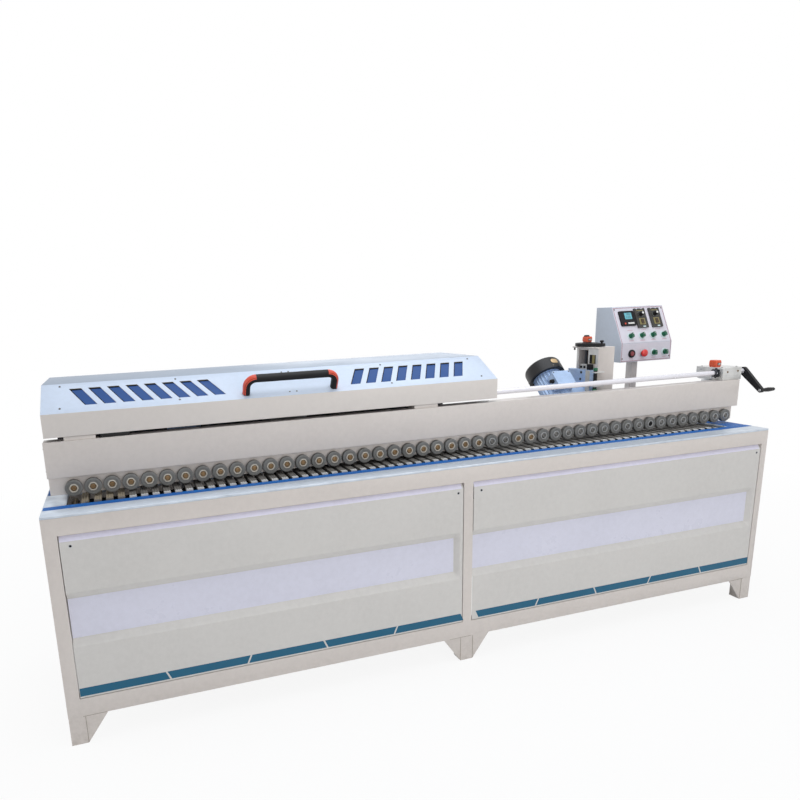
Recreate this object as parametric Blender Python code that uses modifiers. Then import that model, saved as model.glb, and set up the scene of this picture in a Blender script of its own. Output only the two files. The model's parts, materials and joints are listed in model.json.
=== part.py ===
"""Edge banding machine: a cabinet with a chain conveyor, a press beam with a row of
pressure rollers that is raised by a crank, a hinged hood over the milling and gluing
units, a tilted finishing motor on a vertical slide, and a control box on a post.

Metres, +X along the feed, +Y from the operator's side to the back, +Z up. The origin
is on the floor, in the middle of the machine's overall length and depth.
"""

import math

import bmesh
import bpy
from mathutils import Matrix, Vector

# Overall sizes
cabinet_length = 3.16
cabinet_depth = 0.70
table_height = 0.85
crank_reach = 0.156          # from the cabinet's right end to the end of the crank's grip

# Clearances
seat_gap = 0.0003            # between pieces that rest on each other
running_gap = 0.0015         # round a shaft
panel_gap = 0.003            # round a panel in its opening

# Cabinet
table_thickness = 0.008
rail_underside = 0.108
bottom_rail_height = 0.0685
top_rail_height = 0.061
member_depth = 0.040
left_stile = 0.046
right_stile = 0.032
middle_stile = 0.041
end_window_inset = 0.050
end_member = 0.030
foot_width = 0.056
gusset_reach = 0.077
gusset_thickness = 0.006
weld_inset = 0.0005          # by which a welded-on piece stays inside what it is welded to
sheet = 0.002
band_depth = 0.019           # how far the panel's middle band is pressed in
band_low = 0.223             # band's outer edges, above the panel's opening
band_high = 0.398
band_slope = 0.0245
lip_height = 0.020
lip_depth = 0.012

# Conveyor
chain_pitch = 0.040
pad_length = 0.027
pad_height = 0.014
link_half_height = 0.008
pad_above_table = 0.005
sprocket_teeth = 12
chain_front = 0.120
chain_width = 0.150
slot_start = 0.076
slot_end_margin = 0.116
slot_clearance = 0.0035
side_plate_gap = 0.017
side_plate_thickness = 0.008
side_plate_height = 0.100
conveyor_shaft_radius = 0.015

# Press beam, its rollers and its lift
beam_front = 0.18
beam_depth = 0.06
beam_start = 0.020
beam_overhang = 0.012
beam_above_rollers = 0.0123
beam_height = 0.1285
beam_wall = 0.005
roller_radius = 0.030
roller_width = 0.0185
roller_gap = 0.00524
first_roller = 0.103
feed_gap = 0.0067            # between the pads and the rollers with the beam down
last_roller_margin = 0.055   # from the last roller's axis to the cabinet's right end, at least
loose_rollers = 3
roller_rail_height = 0.028
carrier_front = 0.200
carrier_thickness = 0.0115
carrier_bottom = 0.018
post_side = 0.060
left_post_centre = 0.360
right_post_centre = 0.300
left_post = 0.262
right_post_inset = 0.032
lift_screw_radius = 0.010
housing_front = 0.187
left_housing_height = 0.072
right_housing_height = 0.060
right_housing_inset = 0.090   # from the cabinet's right end to its left side
right_housing_reach = 0.0254  # past the cabinet's right end
right_housing_depth = 0.151
right_housing_corner = 0.020
shaft_radius = 0.0115
shaft_centre = 0.215
shaft_above_beam = 0.036
crank_plane = 0.065          # crank arm's inner face, past the cabinet's right end
crank_thickness = 0.016
crank_forward = 0.100         # from the shaft to the grip
crank_drop = 0.087
counter_width = 0.036
counter_depth = 0.045
counter_height = 0.033

# Hood
hood_start = 0.026
hood_length = 1.792
hood_gap = 0.015             # between the beam and the hood
hood_front_height = 0.0825
hood_slope_run = 0.155
hood_slope_rise = 0.087
hood_back_margin = 0.027      # from the hood's back to the cabinet's
slot_count = 8
vent_pitch = 0.0655
vent_width = 0.0415
vent_low = 0.040             # up the slope
vent_high = 0.144
vent_lean = 0.053
vent_margin = 0.147          # from the hood's end to the nearest slot's low corner
window_margin = 0.045
window_length = 0.640
window_thickness = 0.003
arm_width = 0.106
arm_thickness = 0.0137
left_arm = 0.0905
right_arm = 1.434
hinge_radius = 0.005
handle_length = 0.375
handle_height = 0.080
handle_width = 0.030
handle_thickness = 0.025
handle_foot = 0.040
handle_up_slope = 0.031

# Milling and gluing units under the hood
plate_start = 0.340
plate_end_inset = 0.410
plate_front = 0.350
guard_thickness = 0.003
guard_gap = 0.008              # under the hood's support
plate_back_margin = 0.050
plate_thickness = 0.020
board_edge = 0.300
premill_at = 0.520
premill_motor_radius = 0.062
premill_cutter_radius = 0.050
glue_pot_at = 0.950
glue_roller_radius = 0.028

# Finishing unit
column_inset = 0.674         # from the cabinet's right end to the column's left side
column_width = 0.093
column_front = 0.360
column_depth = 0.150
column_height = 0.390        # above the table
channel_depth = 0.050
channel_width = 0.066
slide_screw_radius = 0.008
slide_screw_back = 0.102     # from the column's front
motor_inset = 0.830
motor_tilt = math.radians(-45)
motor_foot_y = 0.3141
motor_foot_height = 0.0341   # cutter's end above the table
motor_length = 0.373
motor_radius = 0.068
fan_cover_radius = 0.0885
fan_cover_length = 0.060
cutter_radius = 0.030

# Control box
box_left_inset = 0.462
box_width = 0.317
box_front_from_back = 0.250
box_back_margin = 0.066
box_bottom = 0.305           # above the table
box_face_height = 0.093
box_slope_run = 0.081
box_slope_rise = 0.178
box_wall = 0.002
control_post_side = 0.038
control_post_shift = 0.0115         # of the post's middle from the box's
post_front_from_back = 0.168
control_pitch = 0.0688
first_control = 0.0670
lower_row = 0.041            # above the box's bottom
upper_row = 0.036            # up the slope
selector_radius = 0.0125
selector_height = 0.023
button_radius = 0.012
stop_radius = 0.0185
temperature_at = (0.0745, 0.131)   # middle: from the box's left side, and up the slope
temperature_size = (0.092, 0.080)
speed_at = ((0.159, 0.1295), (0.2495, 0.1295))
speed_size = (0.066, 0.103)
dial_rise = 0.020                   # of the knob above its controller's middle
bezel_height = 0.008
body_depth = 0.050

# Derived places
left = -(cabinet_length + crank_reach) / 2
right = left + cabinet_length
front = -cabinet_depth / 2
back = -front
frame_top = table_height - table_thickness - seat_gap
frame_back = back - sheet - seat_gap
pitch_radius = sprocket_teeth * chain_pitch / math.tau
chain_axis_height = table_height + pad_above_table - link_half_height - pad_height - pitch_radius
end_room = 0.084             # from the slot's end to the sprocket's axis
chain_left = left + slot_start + end_room
half_pitches = int((cabinet_length - slot_start - slot_end_margin - 2 * end_room) / (chain_pitch / 2) + 1e-6)
chain_span = half_pitches * chain_pitch / 2
chain_right = chain_left + chain_span
chain_back = chain_front + chain_width
roller_pitch = 2 * roller_radius + roller_gap
roller_axis_height = table_height + pad_above_table + feed_gap + roller_radius
roller_count = int((cabinet_length - first_roller - last_roller_margin) / roller_pitch + 1e-6) + 1
beam_low = roller_axis_height + roller_radius + beam_above_rollers
beam_high = beam_low + beam_height
shaft_height = beam_high + shaft_above_beam
hood_left = left + hood_start
hood_right = hood_left + hood_length
hood_low = beam_high + hood_gap
hood_back = cabinet_depth - hood_back_margin
slope_angle = math.atan2(hood_slope_rise, hood_slope_run)
hinge_y = front + hood_back + hinge_radius + 0.001
plate_top = table_height + seat_gap + plate_thickness
column_left = right - column_inset
column_top = table_height + column_height
slide_screw_x = column_left + channel_depth / 2 - 0.008
slide_screw_y = front + column_front + slide_screw_back
motor_x = right - motor_inset
box_low = table_height + box_bottom
box_front = back - box_front_from_back
box_back = back - box_back_margin
box_left = right - box_left_inset
panel_angle = math.atan2(box_slope_rise, box_slope_run)
bend_height = box_low + box_face_height

parts = bpy.data.collections.new("edge_banding_machine")
tools = bpy.data.collections.new("cutters")


# ---------------------------------------------------------------- modelling helpers

def finish(thing, colour, roughness=0.45, metallic=0.0):
    """Gives the object a material of its own."""
    material = bpy.data.materials.new(thing.name + "_finish")
    material.use_nodes = True
    shader = material.node_tree.nodes["Principled BSDF"]
    shader.inputs["Base Color"].default_value = (*colour, 1.0)
    shader.inputs["Roughness"].default_value = roughness
    shader.inputs["Metallic"].default_value = metallic
    thing.data.materials.clear()
    thing.data.materials.append(material)
    return thing


def paint(thing):
    return finish(thing, (0.62, 0.60, 0.56), 0.40)


def steel(thing):
    return finish(thing, (0.55, 0.56, 0.57), 0.35, 0.9)


def blackened(thing):
    return finish(thing, (0.03, 0.03, 0.03), 0.45)


def from_bmesh(name, shape, place=(0, 0, 0), turn=(0, 0, 0)):
    """Puts a bmesh in the scene as an object, with its faces pointing out."""
    bmesh.ops.recalc_face_normals(shape, faces=shape.faces)
    mesh = bpy.data.meshes.new(name)
    shape.to_mesh(mesh)
    shape.free()
    thing = bpy.data.objects.new(name, mesh)
    thing.location = place
    thing.rotation_euler = turn
    parts.objects.link(thing)
    return thing


def box(name, low, high, place=(0, 0, 0), turn=(0, 0, 0)):
    low, high = Vector(low), Vector(high)
    shape = bmesh.new()
    bmesh.ops.create_cube(shape, size=1.0)
    bmesh.ops.scale(shape, vec=high - low, verts=shape.verts)
    bmesh.ops.translate(shape, vec=(low + high) / 2, verts=shape.verts)
    return from_bmesh(name, shape, place, turn)


def rod(name, start, end, radius, sides=16, place=(0, 0, 0), turn=(0, 0, 0)):
    """A cylinder from start to end."""
    start, end = Vector(start), Vector(end)
    along = end - start
    shape = bmesh.new()
    bmesh.ops.create_cone(
        shape, cap_ends=True, segments=sides, radius1=radius, radius2=radius, depth=along.length
    )
    aim = along.to_track_quat("Z", "Y").to_matrix().to_4x4()
    bmesh.ops.transform(shape, matrix=Matrix.Translation((start + end) / 2) @ aim, verts=shape.verts)
    thing = from_bmesh(name, shape, place, turn)
    thing.data.shade_smooth()
    thing.data.set_sharp_from_angle(angle=math.radians(40))
    return thing


def turned(name, profile, sides=24, place=(0, 0, 0), turn=(0, 0, 0)):
    """A turned piece about its local Z; profile is (radius, height) from top to bottom."""
    mesh = bpy.data.meshes.new(name)
    points = [(radius, 0, height) for radius, height in profile]
    mesh.from_pydata(points, [(i, i + 1) for i in range(len(points) - 1)], [])
    thing = bpy.data.objects.new(name, mesh)
    thing.location = place
    thing.rotation_euler = turn
    parts.objects.link(thing)
    screw = thing.modifiers.new("turn", "SCREW")
    screw.axis = "Z"
    screw.steps = screw.render_steps = sides
    screw.use_merge_vertices = True
    screw.merge_threshold = 0.00001
    screw.use_smooth_shade = False
    return thing


UPRIGHT = (math.radians(90), 0, 0)                       # an outline in X and Z
ENDWISE = (math.radians(90), 0, math.radians(90))        # an outline in Y and Z
FLAT = (0, 0, 0)                                         # an outline in X and Y


def prism(name, outlines, plane, low, high, place=(0, 0, 0), turn=None):
    """A flat outline, with any holes after it, carried from low to high across its plane."""
    curve = bpy.data.curves.new(name, "CURVE")
    curve.dimensions = "2D"
    curve.fill_mode = "BOTH"
    curve.extrude = (high - low) / 2
    for outline in outlines:
        spline = curve.splines.new("POLY")
        spline.points.add(len(outline) - 1)
        for point, (u, v) in zip(spline.points, outline):
            point.co = (u, v, 0, 1)
        spline.use_cyclic_u = True
    drawn = bpy.data.objects.new(name, curve)
    parts.objects.link(drawn)
    bpy.context.view_layer.update()
    shape = bmesh.new()
    shape.from_mesh(bpy.data.meshes.new_from_object(drawn.evaluated_get(bpy.context.evaluated_depsgraph_get())))
    bpy.data.objects.remove(drawn)
    bmesh.ops.remove_doubles(shape, verts=shape.verts, dist=0.00001)
    middle = (low + high) / 2
    shift = {UPRIGHT: (0, middle, 0), ENDWISE: (middle, 0, 0), FLAT: (0, 0, middle)}[plane]
    standing = Matrix.Translation(shift)
    if plane == UPRIGHT:
        standing = standing @ Matrix.Rotation(math.radians(90), 4, "X")
    if plane == ENDWISE:
        standing = standing @ Matrix.Rotation(math.radians(90), 4, "Z") @ Matrix.Rotation(math.radians(90), 4, "X")
    bmesh.ops.transform(shape, matrix=standing, verts=shape.verts)
    return from_bmesh(name, shape, place, turn or (0, 0, 0))


def boolean(base, others, operation):
    for other in others:
        for collection in other.users_collection:
            collection.objects.unlink(other)
        tools.objects.link(other)
        other.name = base.name + "_" + other.name
        other.hide_render = True
        other.display_type = "WIRE"
        change = base.modifiers.new(other.name, "BOOLEAN")
        change.operation = operation
        change.solver = "EXACT"
        change.object = other
    return base


def cut(base, *cutters):
    return boolean(base, cutters, "DIFFERENCE")


def join(base, *others):
    return boolean(base, others, "UNION")


def tapered_bar(start, end, start_radius, end_radius, steps=6):
    """The outline of a bar with round ends of two sizes."""
    start, end = Vector(start), Vector(end)
    heading = math.atan2(*(end - start).yx)
    outline = []
    for centre, radius, first in ((start, start_radius, 90), (end, end_radius, -90)):
        for step in range(steps + 1):
            angle = heading + math.radians(first + 180 * step / steps)
            outline.append((centre.x + radius * math.cos(angle), centre.y + radius * math.sin(angle)))
    return outline


def toothed(teeth, tip, root):
    """The outline of a wheel with square teeth."""
    outline = []
    for tooth in range(teeth):
        for share, radius in ((0.0, root), (0.2, tip), (0.55, tip), (0.75, root)):
            angle = math.tau * (tooth + share) / teeth
            outline.append((radius * math.cos(angle), radius * math.sin(angle)))
    return outline


# ---------------------------------------------------------------- cabinet

def foot(centre, half_width, reach_left, reach_right, outer_face, inward):
    """A square tube foot behind a gusset plate that widens into the bottom rail."""
    plate_outer = outer_face + inward * weld_inset
    plate_inner = outer_face + inward * gusset_thickness
    tube_faces = sorted((plate_inner - inward * weld_inset, outer_face + inward * foot_width))
    tube = box(
        "foot_tube",
        (centre - half_width, tube_faces[0], 0),
        (centre + half_width, tube_faces[1], rail_underside + 0.012),
    )
    low, shoulder, top = weld_inset, rail_underside, rail_underside + 0.010
    near, far = centre - half_width - weld_inset, centre + half_width + weld_inset
    outline = [
        (near, low), (far, low), (far + reach_right, shoulder), (far + reach_right, top),
        (near - reach_left, top), (near - reach_left, shoulder),
    ]
    return tube, prism("gusset", [outline], UPRIGHT, *sorted((plate_outer, plate_inner)))


def make_cabinet():
    frame = paint(box("cabinet_frame", (left, front, rail_underside), (right, frame_back, frame_top)))
    low = rail_underside + bottom_rail_height
    high = frame_top - top_rail_height
    middle = left + cabinet_length / 2
    bays = (
        (left + left_stile, middle - middle_stile / 2),
        (middle + middle_stile / 2, right - right_stile),
    )
    for start, end in bays:
        cut(frame, box("bay", (start, front - 0.1, low), (end, back + 0.1, high)))
    inner_ends = (left + end_member, right - end_member)
    cut(frame, box(
        "interior",
        (inner_ends[0], front + member_depth, rail_underside - 0.1),
        (inner_ends[1], frame_back - member_depth, table_height + 0.1),
    ))
    cut(frame, box(
        "end_window",
        (left - 0.1, front + end_window_inset, low),
        (right + 0.1, frame_back - end_window_inset, high),
    ))
    half = foot_width / 2
    for outer_face, inward in ((front, 1), (frame_back, -1)):
        end_inset = half + 2 * weld_inset
        join(frame, *foot(left + end_inset, half, 0, gusset_reach, outer_face, inward))
        join(frame, *foot(middle, half, gusset_reach, gusset_reach, outer_face, inward))
        join(frame, *foot(right - end_inset, half, gusset_reach, 0, outer_face, inward))

    for name, (start, end) in zip(("front_panel_left", "front_panel_right"), bays):
        base = low + panel_gap
        top = high - panel_gap
        face = [
            (front, base),
            (front, low + band_low - band_slope),
            (front + band_depth, low + band_low),
            (front + band_depth, low + band_high - band_slope),
            (front, low + band_high),
            (front, top - lip_height),
            (front + lip_depth, top),
        ]
        behind = [(y + sheet, z) for y, z in reversed(face)]
        paint(prism(name, [face + behind], ENDWISE, start + panel_gap, end - panel_gap))

    paint(box("rear_panel", (left + 0.01, frame_back + seat_gap, rail_underside + 0.01), (right - 0.01, back, high + 0.02)))
    for name, outer, side in (("left_end_panel", left, 1), ("right_end_panel", right, -1)):
        faces = sorted((outer + side * 0.001, outer + side * (0.001 + sheet)))
        paint(box(
            name,
            (faces[0], front + end_window_inset + panel_gap, low + panel_gap),
            (faces[1], frame_back - end_window_inset - panel_gap, high - panel_gap),
        ))

    table = steel(box("table_top", (left, front, table_height - table_thickness), (right, back, table_height)))
    cut(table, box(
        "slot",
        (left + slot_start, front + chain_front - slot_clearance, table_height - 0.1),
        (chain_right + end_room, front + chain_back + slot_clearance, table_height + 0.1),
    ))


# ---------------------------------------------------------------- conveyor

def loop_point(distance, offset):
    """The point at a distance along the chain's pitch line, offset outwards from it."""
    half_turn = math.pi * pitch_radius
    radius = pitch_radius + offset
    if distance < chain_span:
        return chain_left + distance, chain_axis_height + radius
    distance -= chain_span
    if distance < half_turn:
        angle = math.pi / 2 - distance / pitch_radius
        return chain_right + radius * math.cos(angle), chain_axis_height + radius * math.sin(angle)
    distance -= half_turn
    if distance < chain_span:
        return chain_right - distance, chain_axis_height - radius
    distance -= chain_span
    angle = -math.pi / 2 - distance / pitch_radius
    return chain_left + radius * math.cos(angle), chain_axis_height + radius * math.sin(angle)


def make_conveyor():
    links = half_pitches + sprocket_teeth
    outer = []
    for link in range(links):
        start = link * chain_pitch + (chain_pitch - pad_length) / 2
        end = start + pad_length
        low, high = link_half_height, link_half_height + pad_height
        outer += [loop_point(start, low), loop_point(start, high), loop_point(end, high), loop_point(end, low)]
    half_turn = math.pi * pitch_radius
    steps = sprocket_teeth
    inner = [loop_point(chain_span + half_turn * step / steps - 1e-9, -link_half_height) for step in range(steps + 1)]
    inner += [
        loop_point(2 * chain_span + half_turn + half_turn * step / steps, -link_half_height)
        for step in range(steps)
    ]
    inner += [loop_point(0, -link_half_height)]
    blackened(prism("conveyor_chain", [outer, inner], UPRIGHT, front + chain_front, front + chain_back))

    front_plate = front + chain_front - side_plate_gap - side_plate_thickness
    back_plate = front + chain_back + side_plate_gap
    plate_low = chain_axis_height - side_plate_height / 2
    plate_high = chain_axis_height + side_plate_height / 2
    bar_top = chain_axis_height + pitch_radius - link_half_height - seat_gap
    conveyor_frame = steel(box(
        "conveyor_frame",
        (chain_left + pitch_radius, front + chain_front + 0.03, bar_top - 0.03),
        (chain_right - pitch_radius, front + chain_back - 0.03, bar_top),
    ))
    for face in (front_plate, back_plate):
        join(conveyor_frame, box(
            "side_plate",
            (chain_left - 0.05, face, plate_low),
            (chain_right + 0.05, face + side_plate_thickness, plate_high),
        ))
    bars = 4
    for bar in range(bars):
        at = chain_left + chain_span * (bar + 0.5) / bars
        join(conveyor_frame, box(
            "cross_bar",
            (at - 0.02, front + member_depth + seat_gap, bar_top - 0.045),
            (at + 0.02, frame_back - member_depth - seat_gap, bar_top - 0.010),
        ))
    for at in (chain_left, chain_right):
        cut(conveyor_frame, rod(
            "shaft_hole",
            (at, front_plate - 0.1, chain_axis_height),
            (at, back_plate + 0.1, chain_axis_height),
            conveyor_shaft_radius + running_gap,
        ))

    gearbox_front = back_plate + side_plate_thickness + seat_gap
    gearbox_depth = 0.105
    for name, at, shaft_end in (
        ("idler_sprocket", chain_left, back_plate + side_plate_thickness + 0.004),
        ("drive_sprocket", chain_right, gearbox_front + gearbox_depth - 0.006),
    ):
        middle = (chain_front + chain_back) / 2
        wheel = steel(prism(
            name,
            [toothed(sprocket_teeth, pitch_radius - link_half_height - 0.0008, pitch_radius - 0.018)],
            UPRIGHT, front + middle - 0.02, front + middle + 0.02,
            place=(at, 0, chain_axis_height),
        ))
        join(wheel, rod(
            "shaft", (at, front_plate - 0.012, chain_axis_height), (at, shaft_end, chain_axis_height),
            conveyor_shaft_radius,
        ))

    gearbox = finish(box(
        "conveyor_gearmotor",
        (chain_right - 0.07, gearbox_front, chain_axis_height - 0.09),
        (chain_right + 0.07, gearbox_front + gearbox_depth, chain_axis_height + 0.06),
    ), (0.10, 0.16, 0.24), 0.5)
    motor_at = gearbox_front + gearbox_depth / 2
    motor_height = chain_axis_height - 0.03
    join(gearbox, rod(
        "motor", (chain_right - 0.31, motor_at, motor_height), (chain_right - 0.06, motor_at, motor_height), 0.05
    ))
    cut(gearbox, rod(
        "hollow_shaft",
        (chain_right, gearbox_front - 0.1, chain_axis_height),
        (chain_right, gearbox_front + gearbox_depth + 0.1, chain_axis_height),
        conveyor_shaft_radius + running_gap,
    ))


# ---------------------------------------------------------------- press beam

def bead_outline(first, last):
    """The outline in X and Z of a row of rollers threaded on one rail."""
    half = roller_rail_height / 2
    spread = math.asin(half / roller_radius)
    steps = 5
    top, bottom = [], []
    for index in range(first, last):
        centre = left + first_roller + index * roller_pitch
        for step in range(steps + 1):
            angle = spread + (math.pi - 2 * spread) * step / steps
            rise = roller_radius * math.sin(angle)
            top.append((centre - roller_radius * math.cos(angle), roller_axis_height + rise))
            bottom.append((centre - roller_radius * math.cos(angle), roller_axis_height - rise))
    return top + bottom[::-1]


def make_beam():
    beam_left = left + beam_start
    beam_right = right + beam_overhang
    beam = paint(box(
        "press_beam", (beam_left, front + beam_front, beam_low), (beam_right, front + beam_front + beam_depth, beam_high)
    ))
    cut(beam, box(
        "hollow",
        (beam_left + beam_wall, front + beam_front + beam_wall, beam_low + beam_wall),
        (beam_right - beam_wall, front + beam_front + beam_depth + 0.1, beam_high - beam_wall),
    ))
    carrier = box(
        "roller_carrier",
        (beam_left + 0.002, front + carrier_front, table_height + carrier_bottom),
        (right, front + carrier_front + carrier_thickness, beam_low - seat_gap),
    )
    paint(carrier)
    finish(prism(
        "roller_bank", [bead_outline(loose_rollers, roller_count)], UPRIGHT,
        front + beam_front, front + beam_front + roller_width,
    ), (0.20, 0.21, 0.20), 0.75)
    for index in range(loose_rollers):
        centre = left + first_roller + index * roller_pitch
        finish(rod(
            f"pressure_roller_{index + 1}",
            (0, -roller_width / 2, 0), (0, roller_width / 2, 0), roller_radius, 20,
            place=(centre, front + beam_front + roller_width / 2, roller_axis_height),
        ), (0.20, 0.21, 0.20), 0.75)

    make_lift("left", left + left_post, front + left_post_centre, left_housing_height)
    make_lift("right", right - right_post_inset, front + right_post_centre, right_housing_height)

    hub = crank_plane + crank_thickness
    shaft_end = right + crank_plane - seat_gap
    shaft = steel(rod(
        "cross_shaft", (left + left_post - 0.04, 0, 0), (shaft_end, 0, 0), shaft_radius, 16,
        place=(0, front + shaft_centre, shaft_height),
    ))
    star_at = right - right_housing_inset - 0.018
    axis = (0, front + shaft_centre, shaft_height)
    join(
        shaft,
        prism("star_nut", [toothed(8, 0.024, 0.018)], ENDWISE, star_at, star_at + 0.012, place=axis),
        rod("star_hub", (star_at - 0.014, 0, 0), (star_at + 0.001, 0, 0), 0.0165, 16, place=axis),
    )
    blackened(prism(
        "crank_arm", [tapered_bar((0, 0), (-crank_forward, -crank_drop), 0.0185, 0.0115)], ENDWISE,
        right + crank_plane, right + hub, place=(0, front + shaft_centre, shaft_height),
    ))
    blackened(turned(
        "crank_grip",
        [(0, crank_reach - hub - seat_gap), (0.006, crank_reach - hub - seat_gap), (0.010, crank_reach - hub - 0.006),
         (0.008, 0.02), (0.010, 0.004), (0.008, 0), (0, 0)],
        16, place=(right + hub + seat_gap, front + shaft_centre - crank_forward, shaft_height - crank_drop),
        turn=(0, math.radians(90), 0),
    ))
    top = beam_high + seat_gap + right_housing_height
    counter_left = right - right_housing_inset + 0.002
    finish(box(
        "height_indicator",
        (counter_left, front + 0.230, top + seat_gap),
        (counter_left + counter_width, front + 0.230 + counter_depth, top + counter_height),
    ), (0.75, 0.10, 0.03), 0.4)


def make_lift(side, at, middle, height):
    """A lift post on the table, its housing on the beam, and the screw between them."""
    half = post_side / 2
    post = steel(box(
        f"lift_post_{side}",
        (at - half, middle - half, table_height + seat_gap),
        (at + half, middle + half, beam_high - 0.0075),
    ))
    bore = lift_screw_radius + running_gap
    cut(post, rod("nut_bore", (at, middle, table_height - 0.1), (at, middle, beam_high + 0.1), bore))
    low = beam_high + seat_gap
    high = low + height
    face = front + housing_front
    if side == "left":
        rear = middle + half + 0.005
        housing = blackened(box(f"lift_housing_{side}", (at - 0.05, face, low), (at + 0.05, rear, high)))
    else:
        rear, corner = face + right_housing_depth, right_housing_corner
        outline = [(face, high), (face, low)]
        for step in range(7):
            angle = -math.pi / 2 + math.pi / 2 * step / 6
            outline.append((rear - corner + corner * math.cos(angle), low + corner + corner * math.sin(angle)))
        outline.append((rear, high))
        housing = paint(prism(
            f"lift_housing_{side}", [outline], ENDWISE, right - right_housing_inset, right + right_housing_reach
        ))
    cut(housing, rod(
        "shaft_bore", (at - 0.3, front + shaft_centre, shaft_height), (at + 0.3, front + shaft_centre, shaft_height),
        shaft_radius + running_gap,
    ))
    cut(housing, rod("screw_bore", (at, middle, low - 0.1), (at, middle, high - 0.005), bore))
    steel(rod(
        f"lift_screw_{side}", (0, 0, table_height + 0.02), (0, 0, high - 0.010), lift_screw_radius, 12,
        place=(at, middle, 0),
    ))


# ---------------------------------------------------------------- hood

def vent_outline(at, lean):
    """A slanted slot on the slope: at is its low corner's X, lean carries its top."""
    return [(at, vent_low), (at + vent_width, vent_low), (at + lean + vent_width, vent_high), (at + lean, vent_high)]


def make_hood():
    section = [
        (front + beam_front, hood_low),
        (front + beam_front, hood_low + hood_front_height),
        (front + beam_front + hood_slope_run, hood_low + hood_front_height + hood_slope_rise),
        (front + hood_back, hood_low + hood_front_height + hood_slope_rise),
        (front + hood_back, hood_low),
    ]
    shell = paint(prism("hood_shell", [section], ENDWISE, hood_left, hood_right))
    slant_in = sheet * math.tan(slope_angle / 2)
    roof_in = sheet * math.tan((math.pi / 2 - slope_angle) / 2)
    inside = [
        (section[0][0] + sheet, hood_low - 0.1),
        (section[1][0] + sheet, section[1][1] - roof_in),
        (section[2][0] + slant_in, section[2][1] - sheet),
        (section[3][0] - sheet, section[3][1] - sheet),
        (section[4][0] - sheet, hood_low - 0.1),
    ]
    cut(shell, prism("inside", [inside], ENDWISE, hood_left + sheet, hood_right - sheet))

    bend = (0, front + beam_front, hood_low + hood_front_height)
    tilt = (slope_angle, 0, 0)
    for index in range(slot_count):
        reach = vent_margin + index * vent_pitch
        for at, lean in ((hood_left + reach, -vent_lean), (hood_right - reach - vent_width, vent_lean)):
            cut(shell, prism("vent", [vent_outline(at, lean)], FLAT, -0.02, 0.02, place=bend, turn=tilt))
    notch_half = shaft_radius + 0.006
    cut(shell, box(
        "shaft_notch",
        (hood_right - 0.02, front + shaft_centre - notch_half, hood_low - 0.02),
        (hood_right + 0.02, front + shaft_centre + notch_half, shaft_height + notch_half),
    ))

    window_top = -sheet - seat_gap
    for name, start in (
        ("hood_window_left", hood_left + window_margin),
        ("hood_window_right", hood_right - window_margin - window_length),
    ):
        finish(box(
            name, (start, vent_low - 0.022, window_top - window_thickness),
            (start + window_length, vent_high + 0.018, window_top), place=bend, turn=tilt,
        ), (0.05, 0.10, 0.32), 0.15)

    half, foot_inner = handle_length / 2, handle_length / 2 - handle_foot
    inner_height = handle_height - handle_thickness
    outline = [
        (-half, 0), (-half, handle_height - 0.020), (-half + 0.020, handle_height),
        (half - 0.020, handle_height), (half, handle_height - 0.020), (half, 0),
        (foot_inner, 0), (foot_inner, inner_height - 0.012), (foot_inner - 0.012, inner_height),
        (-foot_inner + 0.012, inner_height), (-foot_inner, inner_height - 0.012), (-foot_inner, 0),
    ]
    slope = Vector((0, math.cos(slope_angle), math.sin(slope_angle)))
    normal = Vector((0, -math.sin(slope_angle), math.cos(slope_angle)))
    middle = Vector(((hood_left + hood_right) / 2, bend[1], bend[2])) + slope * handle_up_slope + normal * seat_gap
    blackened(prism(
        "hood_handle", [outline], UPRIGHT, -handle_width / 2, handle_width / 2, place=middle, turn=tilt,
    ))
    make_hood_support()


def make_hood_support():
    """Two arms on the beam and a rear rail that carry the hood's hinge barrel."""
    low = beam_high + seat_gap
    high = low + arm_thickness
    rear = front + hood_back - 0.006
    support = paint(box(
        "hood_support", (left + left_arm, rear - 0.028, low), (left + right_arm + arm_width, rear, high)
    ))
    for start in (left + left_arm, left + right_arm):
        join(support, box("arm", (start, front + beam_front + 0.004, low), (start + arm_width, rear - 0.001, high)))
        join(support, box("hinge_web", (start + 0.01, rear - 0.01, low + 0.001), (start + arm_width - 0.01, hinge_y, low + 0.010)))
        join(support, rod(
            "barrel", (start + 0.01, hinge_y, hood_low - 0.004), (start + arm_width - 0.01, hinge_y, hood_low - 0.004),
            hinge_radius, 12,
        ))


# ---------------------------------------------------------------- units under the hood

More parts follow.
